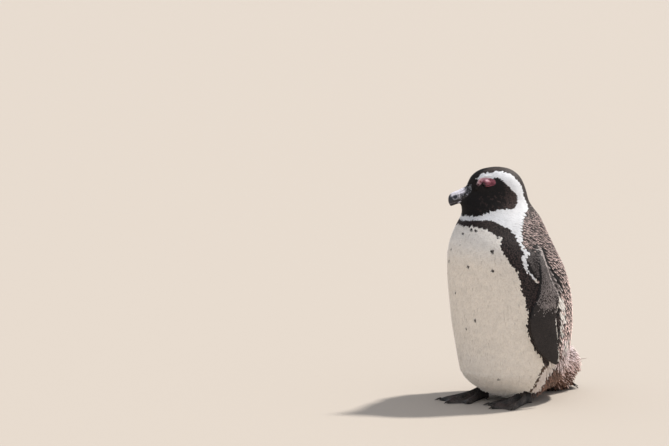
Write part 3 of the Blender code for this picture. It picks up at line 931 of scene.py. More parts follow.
def bare_skin(fore, up, mm):
    """Bare patch colours: deep on the lids, pale on its rim, painted highlights on folds and
    painted shade in creases.
    """
    share = patch_share(fore, up)
    from_slit = up - slit_height(fore)
    colours = np.tile(PINK["plain"], (len(fore), 1))
    # Wrinkle creases are painted deeper and their crests paler, as shade and highlight.
    colours = mixed(colours, PINK["deep"], 0.35 + 0.5 * ripple(mm, 4.5, 41) - 0.3 * fan(fore, up))
    colours = mixed(colours, PINK["light"], 0.7 * ramp(up + 0.30 * fore, 7.0, 12.0))
    colours = mixed(colours, PINK["light"], 0.55 * ramp(fore, 9, 12))
    for name, strength, place, reach in PINK_SPOTS:
        colours = mixed(colours, PINK[name], strength * hump(fore, up, place, reach))
    # The line where the lids meet is painted dark as shade in the slit.
    slit_shade = np.exp(-(from_slit / 0.6) ** 2) * (np.abs(fore - SLIT_MIDDLE) < SLIT_HALF)
    colours = mixed(colours, PINK["dark"], 0.6 * slit_shade)
    rim = np.exp(-((share - 0.92) / 0.09) ** 2) * ramp(fore, 11, 15)
    colours = mixed(colours, PINK["rim"], rim)
    # The two hollows before the eye are painted dark red and near black as shade.
    colours = mixed(colours, PINK["pocket"], 1.7 * hump(fore, up, POCKET, 2.3))
    return mixed(colours, PINK["dark"], 1.5 * hump(fore, up, CORNER, 3.3))


cut_limb = limb_of(points_of(skin.data))
skin_points, skin_normals = points_of(skin.data), normals_of(skin.data)
skin_kind = kinds_at(skin_points, cut_limb, faces_outside(cut_limb, skin_normals))
skin_colour = VANE_COLOUR[skin_kind] * UNDER_COAT
fleck_colour = np.array(linear("241b1a"))
skin_colour += (fleck_colour - skin_colour) * fleck_share(in_mm(skin_points))[:, None]
for side in eyes:
    fore, up, out = at_eye(skin_points, side)
    bare = np.flatnonzero((patch_share(fore, up) < 1.0) & (out > -2))
    skin_colour[bare] = bare_skin(fore[bare], up[bare], in_mm(skin_points[bare]))


def paint(mesh, colours):
    """Stores linear colours on a mesh's points."""
    layer = mesh.attributes.new("markings", "FLOAT_COLOR", "POINT")
    full = np.c_[colours, np.ones(len(colours))].astype(np.float32)
    layer.data.foreach_set("color", full.ravel())


paint(skin.data, skin_colour)
print("skin by kind", dict(zip(KINDS, np.bincount(skin_kind, minlength=len(KINDS)).tolist())))

# %% Skin material: living skin, matt and slightly pebbled
PORES = 0.9  # mm apart
bird_skin, tree, surface = new_material("bird skin")
bumps(tree, surface, noise(tree, 2 * PORES), 0.35, 0.2)
feed(tree, surface, {
    "Base Color": painted(tree),
    "Roughness": 0.55,
    "Subsurface Weight": 0.08,
    "Subsurface Radius": (1.2 * MM, 0.5 * MM, 0.3 * MM),
})
skin.data.materials.clear()
skin.data.materials.append(bird_skin)
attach(skin, "root")
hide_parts(*TRUNK, *LIMBS)
print(bird_skin.name, "in", len(tree.nodes), "nodes")

# %% [markdown]
# ## Where the feathers stand
# A penguin has no bare rows between its feathers: they stand evenly all over, at a distance
# that suits their size. Random points on the skin are taken in turn, and each one kept
# clears the points round it. They are smallest on the face and the flippers and largest on
# the back. The bare patch, the bill and the feet get none.

# %% The size of the feathers
COARSER = 1.0
WIDTH = ((290, 4.0), (330, 3.1), (370, 2.3), (430, 2.2))
LENGTH = ((20, 13), (60, 12), (200, 10), (300, 8), (335, 6), (360, 4.8), (430, 4.2))
SPACING = 0.54  # of the width
FLIPPER_FEATHER = (2.5, 4.2, 1.6)  # width, length, spacing
BACK_FEATHER = (3.0, 14.0, 2.4)
BACK_STRETCH = 0.42  # its spacing across the way it points, over that along it
RUMP_FEATHER = (1.9, 14.0, 2.05)
LEG_FEATHER = (2.4, 6.0, 1.6)
LIMB_FEATHERS = (RUMP_FEATHER, LEG_FEATHER, LEG_FEATHER, FLIPPER_FEATHER, FLIPPER_FEATHER)
FACE_FEATHER = (1.6, 2.8, 1.0)
FACE_REACH = 13  # mm round the bill's root and the bare patch
bill_tree = tree_of(["bill_upper", "bill_lower"])
foot_tree = tree_of(["foot_left", "foot_right"])


def stretch(mm, limbs):
    """How much nearer in height two roots count as being: less than 1 on the back."""
    angle, z = around(mm)
    on_back = (limbs == 0) & (np.abs(angle) > 76) & (z < 340)
    return np.where(on_back & ~on_rump(mm), BACK_STRETCH, 1.0)


def clearance(solid, points):
    """Distance in mm to a closed solid's search tree, negative inside it."""
    found = np.empty(len(points))
    for i, point in enumerate(points):
        place, normal, _, distance = solid.find_nearest(Vector(point))
        away = (Vector(point) - place).dot(normal)
        found[i] = math.copysign(distance, away) / MM
    return found


def on_rump(mm):
    """Whether points of the trunk lie on the ruffled rump."""
    angle, z = around(mm)
    return (z < edge(np.abs(angle), RUMP_TOP)) & (np.abs(angle) > RUMP_FRONT)


def feather_size(points, mm, limbs):
    """Width, length and spacing in mm of a feather at each point, and its share of the face."""
    angle, z = around(mm)
    wide = np.abs(angle)
    sizes = np.stack([edge(z, WIDTH), edge(z, LENGTH), edge(z, WIDTH) * SPACING], axis=1)
    front, side, _ = on_head(mm)
    from_bill = np.sqrt((front - 60) ** 2 + side ** 2 + ((z - 388) * 0.75) ** 2) - 12
    near = 1 - ramp(from_bill, 0, FACE_REACH)
    for eye in eyes:
        fore, up, out = at_eye(points, eye)
        near = np.maximum(near, (1 - ramp(patch_share(fore, up), 1.1, 1.7)) * (out > -4))
    near = near * (z > 350)
    on_back = ramp(wide, 66, 82) * (1 - ramp(z, 325, 360))
    for share, size in ((on_back, BACK_FEATHER), (near, FACE_FEATHER)):
        sizes += (np.array(size) - sizes) * share[:, None]
    sizes[on_rump(mm)] = RUMP_FEATHER
    for number, size in enumerate(LIMB_FEATHERS, 1):
        sizes[limbs == number] = size
    return *(sizes * (COARSER, 1 + (COARSER - 1) / 2, COARSER)).T, near


# %% Even random places on the skin
CROWD = 2.8  # tries for each place that there is room for, about


def corners_of(mesh):
    """The three point numbers of each of a mesh's triangles."""
    mesh.calc_loop_triangles()
    found = np.empty(len(mesh.loop_triangles) * 3, np.int32)
    mesh.loop_triangles.foreach_get("vertices", found)
    return found.reshape(-1, 3)


def spread(points, spacing):
    """Keeps points, in their order, that stand at least their spacing apart."""
    near = KDTree(len(points))
    for i, point in enumerate(points):
        near.insert(point, i)
    near.balance()
    free = np.ones(len(points), bool)
    kept = []
    for i, point in enumerate(points):
        if free[i]:
            kept.append(i)
            for _, other, _ in near.find_range(point, spacing[i]):
                free[other] = False
    return np.array(kept)


rng = np.random.default_rng(5)
skin_corners = corners_of(skin.data)
skin_points, skin_normals = points_of(skin.data), normals_of(skin.data)
centres = skin_points[skin_corners].mean(axis=1)
a, b, c = skin_points[skin_corners].transpose(1, 0, 2)
areas = np.linalg.norm(np.cross(b - a, c - a), axis=1) / 2 / MM ** 2
_, _, apart, _ = feather_size(centres, in_mm(centres), cut_limb[skin_corners[:, 0]])
share = areas / apart ** 2 * stretch(in_mm(centres), cut_limb[skin_corners[:, 0]])
tries = int(share.sum() * CROWD)
chosen = rng.choice(len(share), tries, p=share / share.sum())
blend = rng.random((tries, 2))
blend = np.where(blend.sum(axis=1, keepdims=True) > 1, 1 - blend, blend)
roots = a[chosen] + (b - a)[chosen] * blend[:, :1] + (c - a)[chosen] * blend[:, 1:]
root_limb = cut_limb[skin_corners[chosen, 0]]
_, _, apart, _ = feather_size(roots, in_mm(roots), root_limb)
stretched = roots.copy()
stretched[:, 2] *= stretch(in_mm(roots), root_limb)
kept = spread(stretched, apart * MM)
roots, root_limb = roots[kept], root_limb[kept]
print("skin area", round(areas.sum() / 1e4, 1), "square dm")
print(len(roots), "places of", tries, "tries")

# %% Leave the bare patch, the bill and the feet free
BILL_DEPTH = 9  # mm; no place of the skin lies deeper than this in the bill
bare = np.zeros(len(roots), bool)
for side in eyes:
    fore, up, out = at_eye(roots, side)
    bare |= (patch_share(fore, up) < 1.02) & (out > -4)
front, _, height = on_head(in_mm(roots))
by_bill = np.flatnonzero((front > 40) & (height > 350))
from_horn = clearance(bill_tree, roots[by_bill])
bare[by_bill[(from_horn < -1.0) & (from_horn > -BILL_DEPTH)]] = True
by_foot = np.flatnonzero(height < 40)
bare[by_foot[clearance(foot_tree, roots[by_foot]) < 0.3]] = True
roots, root_limb = roots[~bare], root_limb[~bare]
print(len(roots), "feathers")

# %% [markdown]
# ## The lie of the feathers
# Feathers point away from the bill over the head, then down the neck and the front, and
# down and back over the shoulders. Each vane follows the skin from its root, because a
# straight one would stick out of a curve. Near the floor the belly's feathers hang free.

# %% Which way they point
BILL_ROOT = (60, 0, 385)  # front, side and height on the head
BACKWARDS = ((60, 0.2), (150, 0.3), (200, 0.5), (240, 0.9), (280, 1.5), (330, 1.5), (360, 0.5))


def flow(mm, limbs):
    """The way feathers point at each place, not yet laid along the skin."""
    angle, z = around(mm)
    root = np.array([0, -PIVOT_AHEAD / MM, 0]) + np.array(head_forward) * BILL_ROOT[0]
    on_face = mm - root - np.array([0, 0, BILL_ROOT[2]])
    on_face /= np.linalg.norm(on_face, axis=1, keepdims=True)
    wide = np.abs(angle)
    backwards = ramp(wide, 30, 78) * edge(z, BACKWARDS)
    outwards = np.sign(mm[:, 0]) * ramp(wide, 5, 60) * (1 - ramp(wide, 100, 150)) * 0.15
    backwards = backwards * (1 - 0.6 * ramp(wide, 130, 175))
    down = np.stack([outwards, backwards, -np.ones(len(mm))], axis=1)
    down /= np.linalg.norm(down, axis=1, keepdims=True)
    head_share = ramp(z, 330, 368)[:, None]
    ways = on_face * head_share + down * (1 - head_share)
    rump = (limbs == 0) * (1 - ramp(z, 75, 110)) * ramp(wide, 95, 125)
    ways += np.stack([0 * z, 1.1 * rump, 0.35 * rump], axis=1)
    ways[limbs == 1] = (0, 0.8, -0.6)
    on_flipper = np.isin(limbs, (4, 5))
    ways[on_flipper] = (0, 0.12, -1)
    under = (limbs == 0) * (1 - ramp(z, 24, 34))
    return ways + np.stack([0 * z, 0.5 * under, 0 * z], axis=1)


# %% Follow the skin from each root
STEPS = (0, 0.3, 0.65, 0.88, 1)
SEEN = STEPS[3]  # a feather's kind is that of the place where it shows
TIP_HEIGHT = {"body": 1.9, "head": 1.4, "flipper": 0.75, "leg": 1.0, "rump": 8.0}  # mm over skin
SUNK = 0.25  # mm that a root lies under the skin
skin_tree = BVHTree.FromPolygons(skin_points.tolist(), skin_corners.tolist())


def on_skin(points):
    """The nearest point of the skin and its soft normal, for each point."""
    places, normals = np.empty_like(points), np.empty_like(points)
    for i, point in enumerate(points):
        place, _, face, _ = skin_tree.find_nearest(point)
        places[i] = place
        normals[i] = face_normals[face]
    return places, normals


def unit(vectors):
    """Vectors brought to length 1."""
    return vectors / np.maximum(np.linalg.norm(vectors, axis=1, keepdims=True), 1e-9)


def laid(ways, normals):
    """Ways turned into the skin's plane."""
    return unit(ways - normals * np.sum(ways * normals, axis=1, keepdims=True))


face_normals = unit(skin_normals[skin_corners].mean(axis=1))
places, root_normals = on_skin(roots)
mm = in_mm(roots)
wide, long, _, face_share = feather_size(roots, mm, root_limb)
angle, height = around(mm)
count = len(roots)
long *= rng.uniform(0.88, 1.12, count)
wide *= rng.uniform(0.9, 1.1, count)
is_rump = (root_limb == 1) | ((root_limb == 0) & on_rump(mm))
yaw = np.radians(rng.normal(0, 1, count) * np.where(is_rump, 18, 4))
ways = laid(flow(mm, root_limb), root_normals)
ways = ways * np.cos(yaw)[:, None] + np.cross(root_normals, ways) * np.sin(yaw)[:, None]
long = np.where(is_rump, long * rng.uniform(0.8, 1.15, count), long)

# Feathers before the bare patch are cut short, so that none lies over it.
for side in eyes:
    for shorten in (0.6, 0.5):
        fore, up, out = at_eye(roots + ways * (long * MM)[:, None], side)
        over = (patch_share(fore, up) < 1.0) & (out > -4)
        long[over] *= shorten

# The tips stand higher on the back, and highest on the ruffled rump.
tip_height = TIP_HEIGHT["body"] + (TIP_HEIGHT["head"] - TIP_HEIGHT["body"]) * ramp(height, 325, 375)
tip_height = np.where(np.isin(root_limb, (4, 5)), TIP_HEIGHT["flipper"], tip_height)
tip_height = np.where(np.isin(root_limb, (2, 3)), TIP_HEIGHT["leg"], tip_height)
on_back = ramp(np.abs(angle), 66, 90) * (1 - ramp(height, 325, 360)) * (root_limb == 0)
tip_height *= rng.uniform(0.94, 1.05, count) + on_back * rng.uniform(0, 0.6, count)
ruffled = is_rump * rng.uniform(0.05, 1, count) ** 1.3 * ramp(np.abs(angle), 92, 120)
below_edge = edge(np.abs(angle), RUMP_TOP) - height
ruffled *= np.where(root_limb == 0, 0.65 * ramp(below_edge, 0, 35), 1)
tip_height += TIP_HEIGHT["rump"] * ruffled
tip_height *= 1 - 0.35 * face_share

rows = [(places - root_normals * SUNK * MM, root_normals, ways)]
on_surface, normals, way = places, root_normals, ways
for near_step, far_step in zip(STEPS[:-1], STEPS[1:]):
    on_surface, normals = on_skin(on_surface + way * ((far_step - near_step) * long * MM)[:, None])
    way = laid(way, normals)
    lifted = -SUNK + (tip_height + SUNK) * far_step
    rows.append((on_surface + normals * (lifted * MM)[:, None], normals, way))
    if far_step == SEEN:
        shown = on_surface.copy()
print("followed the skin with", count, "feathers of", len(STEPS), "steps")

# %% Let the belly's fringe hang
FLOOR_GAP, FLOOR_RAGGED = 0.5, 0.6  # mm that all tips stay clear of the floor, and some more
hang = (1 - ramp(height, 26, 46)) * ramp(-root_normals[:, 2], -0.15, 0.35)
hang = np.maximum(hang, 0.75 * (1 - ramp(height, 70, 100)) * ramp(-root_normals[:, 2], 0.05, 0.45))
hang *= (root_limb == 0) & ~is_rump
falls = unit(root_normals * np.array([0.35, 0.35, 0]) + np.array([0, 0, -1.0]))
centre_lines = []
for step, (points, normals, way) in zip(STEPS, rows):
    free = rows[0][0] + falls * (step * long * 0.9 * MM)[:, None]
    points = points + (free - points) * hang[:, None]
    lowest = (FLOOR_GAP + FLOOR_RAGGED * rng.random(count)) * MM
    points[:, 2] = np.maximum(points[:, 2], lowest)
    centre_lines.append(points)
print("hanging", int((hang > 0.5).sum()))

# %% [markdown]
# ## One vane as a mesh
# A vane starts as a point under the skin, widens, and ends in a point. Across, it has four
# corners: two thin side edges that droop, and a low keel above and below. That is a closed
# solid of 24 triangles, or 16 for the small ones. All vanes of a piece are made at once as
# arrays. The side edges are marked sharp, so the upper face shades as one soft blade.

# %% Make a joined mesh of vanes
BODY_VANE = ((0, 0), (1, 0.75), (2, 1.0), (3, 0.72), (4, 0))  # step, share of the width
SMALL_VANE = ((0, 0), (1, 0.9), (3, 0.74), (4, 0))
KEEL, DROOP = 0.13, 0.07  # mm above and below, share of the width
RIM = ((0, 1), (1, 2), (2, 3), (3, 0))  # from left to keel, right, underside and left again
PATCH = 0.0015  # half of a vane's patch in the baking map


def vane_faces(per, rings, many):
    """The triangles and the quads of many vanes with so many points and rings each."""
    last = per - 1
    threes = [(0, 1 + b, 1 + a) for a, b in RIM]
    threes += [(last - 4 + a, last - 4 + b, last) for a, b in RIM]
    fours = [
        (1 + 4 * ring + a, 1 + 4 * ring + b, 5 + 4 * ring + b, 5 + 4 * ring + a)
        for ring in range(rings - 1) for a, b in RIM
    ]
    shift = (np.arange(many) * per)[:, None, None]
    return ((np.array(faces)[None] + shift).reshape(-1, len(faces[0])) for faces in (threes, fours))


def store_vane(mesh, vane):
    """Stores how far each point lies from its shaft and from its root, in mm."""
    layer = mesh.attributes.new("vane", "FLOAT_VECTOR", "POINT")
    layer.data.foreach_set("vector", vane.astype(np.float32).ravel())


def vane_mesh(name, chosen, shape, bake, narrow=1.0):
    """A mesh of the chosen feathers, with colours, a baking map and vane coordinates."""
    many, rings = len(chosen), len(shape) - 2
    half = wide[chosen] / 2 * narrow
    points, colours, uv, vane = [], [], [], []
    base, tip = VANE_COLOUR[kind[chosen]], TIP_COLOUR[kind[chosen]]
    for step, share in shape:
        place = centre_lines[step][chosen]
        normal = rows[step][1][chosen]
        before, after = max(step - 1, 0), min(step + 1, len(STEPS) - 1)
        along = unit(centre_lines[after][chosen] - centre_lines[before][chosen])
        right = unit(np.cross(along, normal))
        up = np.cross(right, along)
        droop = -(half * share * 2 * DROOP)[:, None] * up
        across = right * (half * share)[:, None]
        pointed = share == 0
        corners = (0 * up,) if pointed else (droop - across, up * KEEL, droop + across, -up * KEEL)
        sides = (0,) if pointed else (-1, 0, 1, 0)
        paleness = ramp(STEPS[step], pale_from[kind[chosen]], 1.0)[:, None]
        keel_colour = base + (tip - base) * paleness
        # The root end of each vane is painted darker as shade under the feathers over it.
        keel_colour *= 0.82 + 0.18 * ramp(STEPS[step], 0, 0.5)
        # Side edges keep the dark base colour as painted shade in the gaps between feathers.
        shaded_edge_colour = keel_colour + (base - keel_colour) * edge_shade[kind[chosen], None]
        spotted = np.maximum(fleck_share(in_mm(place)), in_fleck[chosen])[:, None] * (step > 1)
        for corner, side in zip(corners, sides):
            points.append(place + corner * MM)
            colour = (shaded_edge_colour if side else keel_colour) * bright[chosen]
            colours.append(colour * (1 - spotted) + fleck_colour * spotted)
            uv.append(bake + PATCH * np.array([side, 2 * STEPS[step] - 1]))
            from_root = STEPS[step] * long[chosen]
            vane.append(np.stack([side * share * half, from_root, 0 * half], axis=1))
    per = len(points)
    points, colours, uv, vane = (
        np.stack(values, axis=1).reshape(many * per, -1)
        for values in (points, colours, uv, vane)
    )
    threes, fours = vane_faces(per, rings, many)
    loops = np.r_[threes.ravel(), fours.ravel()]
    starts = np.r_[np.arange(len(threes)) * 3, threes.size + np.arange(len(fours)) * 4]
    mesh = bpy.data.meshes.new(name)
    mesh.vertices.add(len(points))
    mesh.vertices.foreach_set("co", points.astype(np.float32).ravel())
    mesh.loops.add(len(loops))
    mesh.loops.foreach_set("vertex_index", loops.astype(np.int32))
    mesh.polygons.add(len(starts))
    mesh.polygons.foreach_set("loop_start", starts.astype(np.int32))
    mesh.update(calc_edges=True)
    mesh.shade_smooth()
    side_vertex = np.tile(np.array([True] + [True, False, True, False] * rings + [True]), many)
    ends = np.empty(len(mesh.edges) * 2, np.int32)
    mesh.edges.foreach_get("vertices", ends)
    sharp = mesh.attributes.new("sharp_edge", "BOOLEAN", "EDGE")
    sharp.data.foreach_set("value", side_vertex[ends].reshape(-1, 2).all(axis=1))
    bake_map = mesh.uv_layers.new(name="OFBake")
    bake_map.uv.foreach_set("vector", uv[loops].astype(np.float32).ravel())
    paint(mesh, colours)
    store_vane(mesh, vane)
    return mesh


# %% The kind and brightness of each feather
SUNLIT = ((150, 1.15), (200, 0.8), (260, 0.05), (275, 0), (295, -0.22))  # height, paler by
WARM_SHADE = np.array([0.985, 0.945, 0.89])  # painted warm shade: the front's white is a little darker and warmer low down
RUST = np.array([1.04, 0.93, 0.87])  # the lowest plumes are stained reddish
outside = faces_outside(root_limb, root_normals)
kind = kinds_at(shown, root_limb, outside)
in_fleck = fleck_share(in_mm(shown))
bright = 1 + VARIES[kind] * rng.uniform(-1, 1, count)
bright *= 1 + 0.5 * VARIES[kind] * ripple(mm, 38, 21)
# The collar is painted a little darker below the head than on the brow, as shade.
bright *= 1 - 0.07 * (1 - ramp(height, 340, 372)) * (kind == KIND["collar"])
bright *= 1 - 0.4 * ramp(height, 222, 262) * (kind == KIND["shoulder"])
# Shoulder feathers in front of the flipper are painted darker as the armpit's shade.
bright *= 1 - 0.3 * (kind == KIND["shoulder"]) * (root_limb == 0) * (np.abs(angle) < 80)
sunlit = edge(height, SUNLIT) * (1 - 0.5 * ramp(np.abs(angle), 130, 160))
bright *= 1 + sunlit * (kind == KIND["back"])
bright *= 1 + 0.15 * (kind == KIND["rump"])
# The white low on the front gets the painted warm shade.
in_front = 1 - ramp(np.abs(angle), 70, 90)
painted_light_and_dust = (kind == KIND["white"]) * (1 - ramp(height, 255, 315)) * in_front
bright = bright[:, None] * (1 + (WARM_SHADE - 1) * painted_light_and_dust[:, None])
rusty = np.isin(kind, (KIND["rump"], KIND["vent"])) * (1 - ramp(height, 45, 72))
bright *= 1 + (RUST - 1) * rusty[:, None]
print("feathers by kind", dict(zip(KINDS, np.bincount(kind, minlength=len(KINDS)).tolist())))

# %% Coat material: contour feathers
# Keratin barbs set at a slant on a fine shaft give a soft sheen. Real barbs are 0.1 mm
# apart, too fine to show, so they are drawn 0.4 mm apart.
BARB = 0.4
feather_stuff, tree, surface = new_material("contour feathers")
vane_at = add(tree, "ShaderNodeAttribute", attribute_name="vane")
parts = add(tree, "ShaderNodeSeparateXYZ", {"Vector": vane_at.outputs["Vector"]})
from_shaft = maths(tree, "ABSOLUTE", parts.outputs["X"])
slant = maths(tree, "SUBTRACT", from_shaft, parts.outputs["Y"])
barbs = maths(tree, "SINE", maths(tree, "MULTIPLY", slant, 2 * math.pi / BARB))
bumps(tree, surface, barbs, 0.5, 0.04)
dust = mapped(tree, noise(tree, 9, 4.0), (0.3, 0.7), (0.93, 1.05))
feed(tree, surface, {
    "Base Color": brightened(tree, painted(tree), dust),
    "Roughness": 0.58,
    "Specular IOR Level": 0.32,
})
print(feather_stuff.name, "in", len(tree.nodes), "nodes")

# %% The pieces of the coat
MARGIN, REST = 0.02, 0.96  # shares of the baking map
BODY_HIGH, FLIPPER_HIGH = 440, 330  # mm that fill its height
RUMP_NARROW = 0.75  # ruffled vanes are narrower than their size says


def round_bake(chosen):
    """Each root's place on the skin unrolled round the spine."""
    turn, z = around(in_mm(roots[chosen]))
    return np.stack([
        MARGIN + REST * (turn + 180) / 360,
        MARGIN + REST * np.clip(z / BODY_HIGH, 0, 1),
    ], axis=1)


def flat_bake(chosen, side):
    """Each root's place on the flipper's two faces laid side by side."""
    spots = in_mm(roots[chosen])
    across = spots @ flipper_ways(side)[0]
    return np.stack([
        MARGIN + 0.42 * np.clip((across + 55) / 90, 0, 1) + 0.5 * outside[chosen],
        MARGIN + REST * np.clip(spots[:, 2] / FLIPPER_HIGH, 0, 1),
    ], axis=1)


is_front = np.abs(angle) < 90
body = root_limb == 0
BELLY_TOP, BREAST_TOP, NECK_TOP = 175, 290, 350
zones = {  # which feathers, shape of the vane, material slot
    "coat_head": (body & (height >= NECK_TOP), SMALL_VANE, "plumage_dark"),
    "coat_neck": (
        body & (height >= BREAST_TOP) & (height < NECK_TOP), BODY_VANE, "plumage_white",
    ),
    "coat_breast": (
        body & (height >= BELLY_TOP) & (height < BREAST_TOP) & is_front,
        BODY_VANE, "plumage_white",
    ),
    "coat_belly": (body & (height < BELLY_TOP) & is_front & ~is_rump, BODY_VANE, "plumage_white"),
    "coat_back": (body & (height < BREAST_TOP) & ~is_front & ~is_rump, BODY_VANE, "plumage_dark"),
    "coat_rump": (is_rump, BODY_VANE, "plumage_rump"),
    "coat_legs": (np.isin(root_limb, (2, 3)), SMALL_VANE, "plumage_white"),
    "coat_flipper_left": (root_limb == 4, SMALL_VANE, "flipper_feather"),
    "coat_flipper_right": (root_limb == 5, SMALL_VANE, "flipper_feather"),
}
for name, (where, shape, slot) in zones.items():
    chosen = np.flatnonzero(where)
    side = name.rsplit("_", 1)[1]
    bake = flat_bake(chosen, side) if side in eyes else round_bake(chosen)
    narrow = RUMP_NARROW if name == "coat_rump" else 1.0
    coat = bpy.data.objects.new(name, vane_mesh(name, chosen, shape, bake, narrow))
    bpy.context.scene.collection.objects.link(coat)
    coat.data.materials.append(feather_stuff)
    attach(coat, "root")
    coat.data.calc_loop_triangles()
    print(name, len(chosen), "feathers,", len(coat.data.loop_triangles), "triangles")

# %% [markdown]
# ## Tail quills and one loose feather
# The tail is a short fan of stiff, dark quills that props the bird up from behind. Each is
# a blade: a flat grid shaped to a point, bowed and given its thickness, then set in the
# fan. One pale feather has worked loose from the ruffled rump and sticks out backwards.

# %% A single blade
BLADE_THICK = 0.7


def blade(long, broad, bow):
    """A pointed, keeled, bowed blade along +Y from the origin, sizes in mm."""
    bm = bmesh.new()
    bmesh.ops.create_grid(bm, x_segments=4, y_segments=12, size=0.5)
    for vert in bm.verts:
        along = vert.co.y + 0.5
        share = min(1, 0.35 + 2.2 * along) * min(1, (1 - along) / 0.32 + 0.02) ** 0.6
        keel = 0.10 * broad * (1 - abs(vert.co.x) * 2)
        vert.co = Vector((vert.co.x * broad * share, along * long, keel + bow * along ** 2)) * MM
    bmesh.ops.solidify(bm, geom=bm.faces[:], thickness=BLADE_THICK * MM)
    bmesh.ops.recalc_face_normals(bm, faces=bm.faces)
    return bm


def join_blades(name, blades, tones):
    """One piece of blades, each given as (bmesh, root, direction, face)."""
    whole, vane = bmesh.new(), []
    for bm, root, ahead, face in blades:
        vane += [vert.co / MM for vert in bm.verts]
        ahead = ahead.normalized()
        right = ahead.cross(face).normalized()
        turn = Matrix((right, ahead, right.cross(ahead))).transposed().to_4x4()
        bmesh.ops.transform(bm, matrix=Matrix.Translation(root) @ turn, verts=bm.verts)
        add_to(whole, bm, name)
    made = object_of(name, whole)
    vane = np.array(vane)
    along = vane[:, 1] / vane[:, 1].max()
    low, high = (np.array(linear(tone)) for tone in tones)
    paint(made.data, low + (high - low) * ramp(along, 0.55, 1.0)[:, None])
    store_vane(made.data, vane)
    made.data.materials.append(feather_stuff)
    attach(made, "root")
    print(name, len(blades), "blades,", len(made.data.polygons), "faces")


def from_origin(x, y, z):
    """A place given in mm from the body's middle on the floor."""
    return origin + Vector((x, y, z)) * MM


# %% The fan of quills
QUILLS = 15
QUILL_WIDTH, QUILL_BOW = 8.0, -3.0
quills = []
for number in range(QUILLS):
    spot = 2 * number / (QUILLS - 1) - 1
    root = from_origin(20 * spot, 122 - 6 * spot ** 2, 36 - 3 * (number % 2))
    tip = from_origin(33 * spot, 184 - 17 * spot ** 2, 3.8 + 3.0 * (number % 2))
    ahead = tip - root
    face = Vector((0.25 * spot, 0.45, 1))
    quills.append((blade(ahead.length / MM, QUILL_WIDTH, QUILL_BOW), root, ahead, face))
join_blades("tail_quills", quills, ("16110f", "3f342f"))

# %% The loose feather
LOOSE_ROOT = (38, 141, 60)
LOOSE_WAY = Vector((0.75, 0.66, 0.03))
loose = (blade(26, 2.2, 2.0), from_origin(*LOOSE_ROOT), LOOSE_WAY, Vector((0, 0, 1)))
join_blades("loose_feather", [loose], ("a8938a", "d8cac2"))

# %% [markdown]
# ## Bill
# The bill is worn horn in two halves that meet in a thin line. It is rough and spotted at
# its root, painted bright along its ridge as a highlight, has a pale band across it before
# the tip, and its dark tip hooks down. The solids give its form, so fine copies of them are
# softened, cut with a groove and nostril, and coloured by place.

# %% Shape the two halves of the bill
BILL_VOXEL = 0.45 * MM
RISE = 1.5  # mm that the softened tip is lifted
NOSTRIL = (68.0, 392.5)  # front and height on the head
CULMEN = ((60, 397.5), (64, 395.3), (69, 393.8), (75, 392.8), (81.5, 390.7), (89, 386))
DARK_SPOT = (82, 382.5)  # front and height of the dark spot before the tip, ringed with pale
HORN = palette(
    dark="111015", grey="42414c", spot="a3a3ae", pale="e9e7f1", tip="1b1e2b",
    mouth="a59da3", under="3a2d29",
)


def bill_groove(front):
    """Height of the groove that runs forwards from the nostril."""
    return NOSTRIL[1] - 0.42 * (front - NOSTRIL[0])


def bill_colours(node, mm, normals):
    """The horn's colours, painted from its root to its tip."""
    front, _, z = on_head(mm)
    colours = np.tile(HORN["dark"], (len(mm), 1))
    colours = mixed(colours, HORN["grey"], 0.12 + 0.4 * ripple(mm, 5, 51))
    colours = mixed(colours, HORN["tip"], ramp(front, 84, 89))
    root = 1 - ramp(front, 68, 73)
    spots = ramp(ripple(mm, 2.6, 52), 0.35, 0.75)
    colours = mixed(colours, HORN["dark"], 0.9 * root)
    colours = mixed(colours, HORN["spot"], spots * root * ramp(front, 56, 60))
    if node == "bill_upper":
        bar = np.exp(-((front - 74.2 + 1.0 * ripple(mm, 5, 53)) / 2.4) ** 2) * ramp(z, 377, 383)
        colours = mixed(colours, HORN["pale"], 0.8 * bar * (0.8 + 0.5 * ripple(mm, 3.5, 58)))
        ahead, above = front - DARK_SPOT[0], z - DARK_SPOT[1]
        colours = mixed(colours, HORN["tip"], 1 - ramp(np.hypot(ahead, above), 3.5, 4.5))
        ring_far = np.hypot(ahead / 4.8, above / 5.6) + 0.12 * ripple(mm, 4, 59)
        ring = np.exp(-((ring_far - 1) / 0.2) ** 2) * (0.6 + 0.5 * ripple(mm, 5, 60))
        colours = mixed(colours, HORN["spot"], ring)
        # Along the ridge's top the horn is painted pale as a highlight.
        worn = ramp(z - edge(front, CULMEN), -6.5, -3.5)
        worn *= ramp(front, 60, 67)
        worn *= 1 - ramp(front, 86, 91)
        colours = mixed(colours, HORN["pale"], worn * (0.9 + 0.25 * ripple(mm, 4, 54)))
        mouth = np.exp(-((z - (368.5 + 0.40 * (88 - front))) / 1.1) ** 2) * ramp(front, 72, 80)
        colours = mixed(colours, HORN["mouth"], 0.6 * mouth)
    else:
        base = (1 - ramp(front, 74, 78)) * ramp(z, 366, 370)
        colours = mixed(colours, HORN["pale"], 0.85 * base * (0.75 + 0.5 * ripple(mm, 4, 55)))
        colours = mixed(colours, HORN["under"], 0.7 * ramp(-normals[:, 2], 0.5, 0.9))
    return colours


def horn_points(node, mm):
    """Moves of the softened horn along its normals, in mm."""
    front, _, z = on_head(mm)
    move = 0.10 * ripple(mm, 1.8, 56) + 0.16 * ripple(mm, 3.5, 57) * (1 - ramp(front, 68, 78))
    if node == "bill_upper":
        in_groove = np.exp(-((z - bill_groove(front)) / 1.1) ** 2)
        move -= 0.45 * in_groove * ramp(front, 64, 67) * (1 - ramp(front, 80, 86))
        slit = np.exp(-((front - NOSTRIL[0]) / 3.0) ** 2 - ((z - bill_groove(front)) / 0.8) ** 2)
        move -= 1.1 * slit
    return move


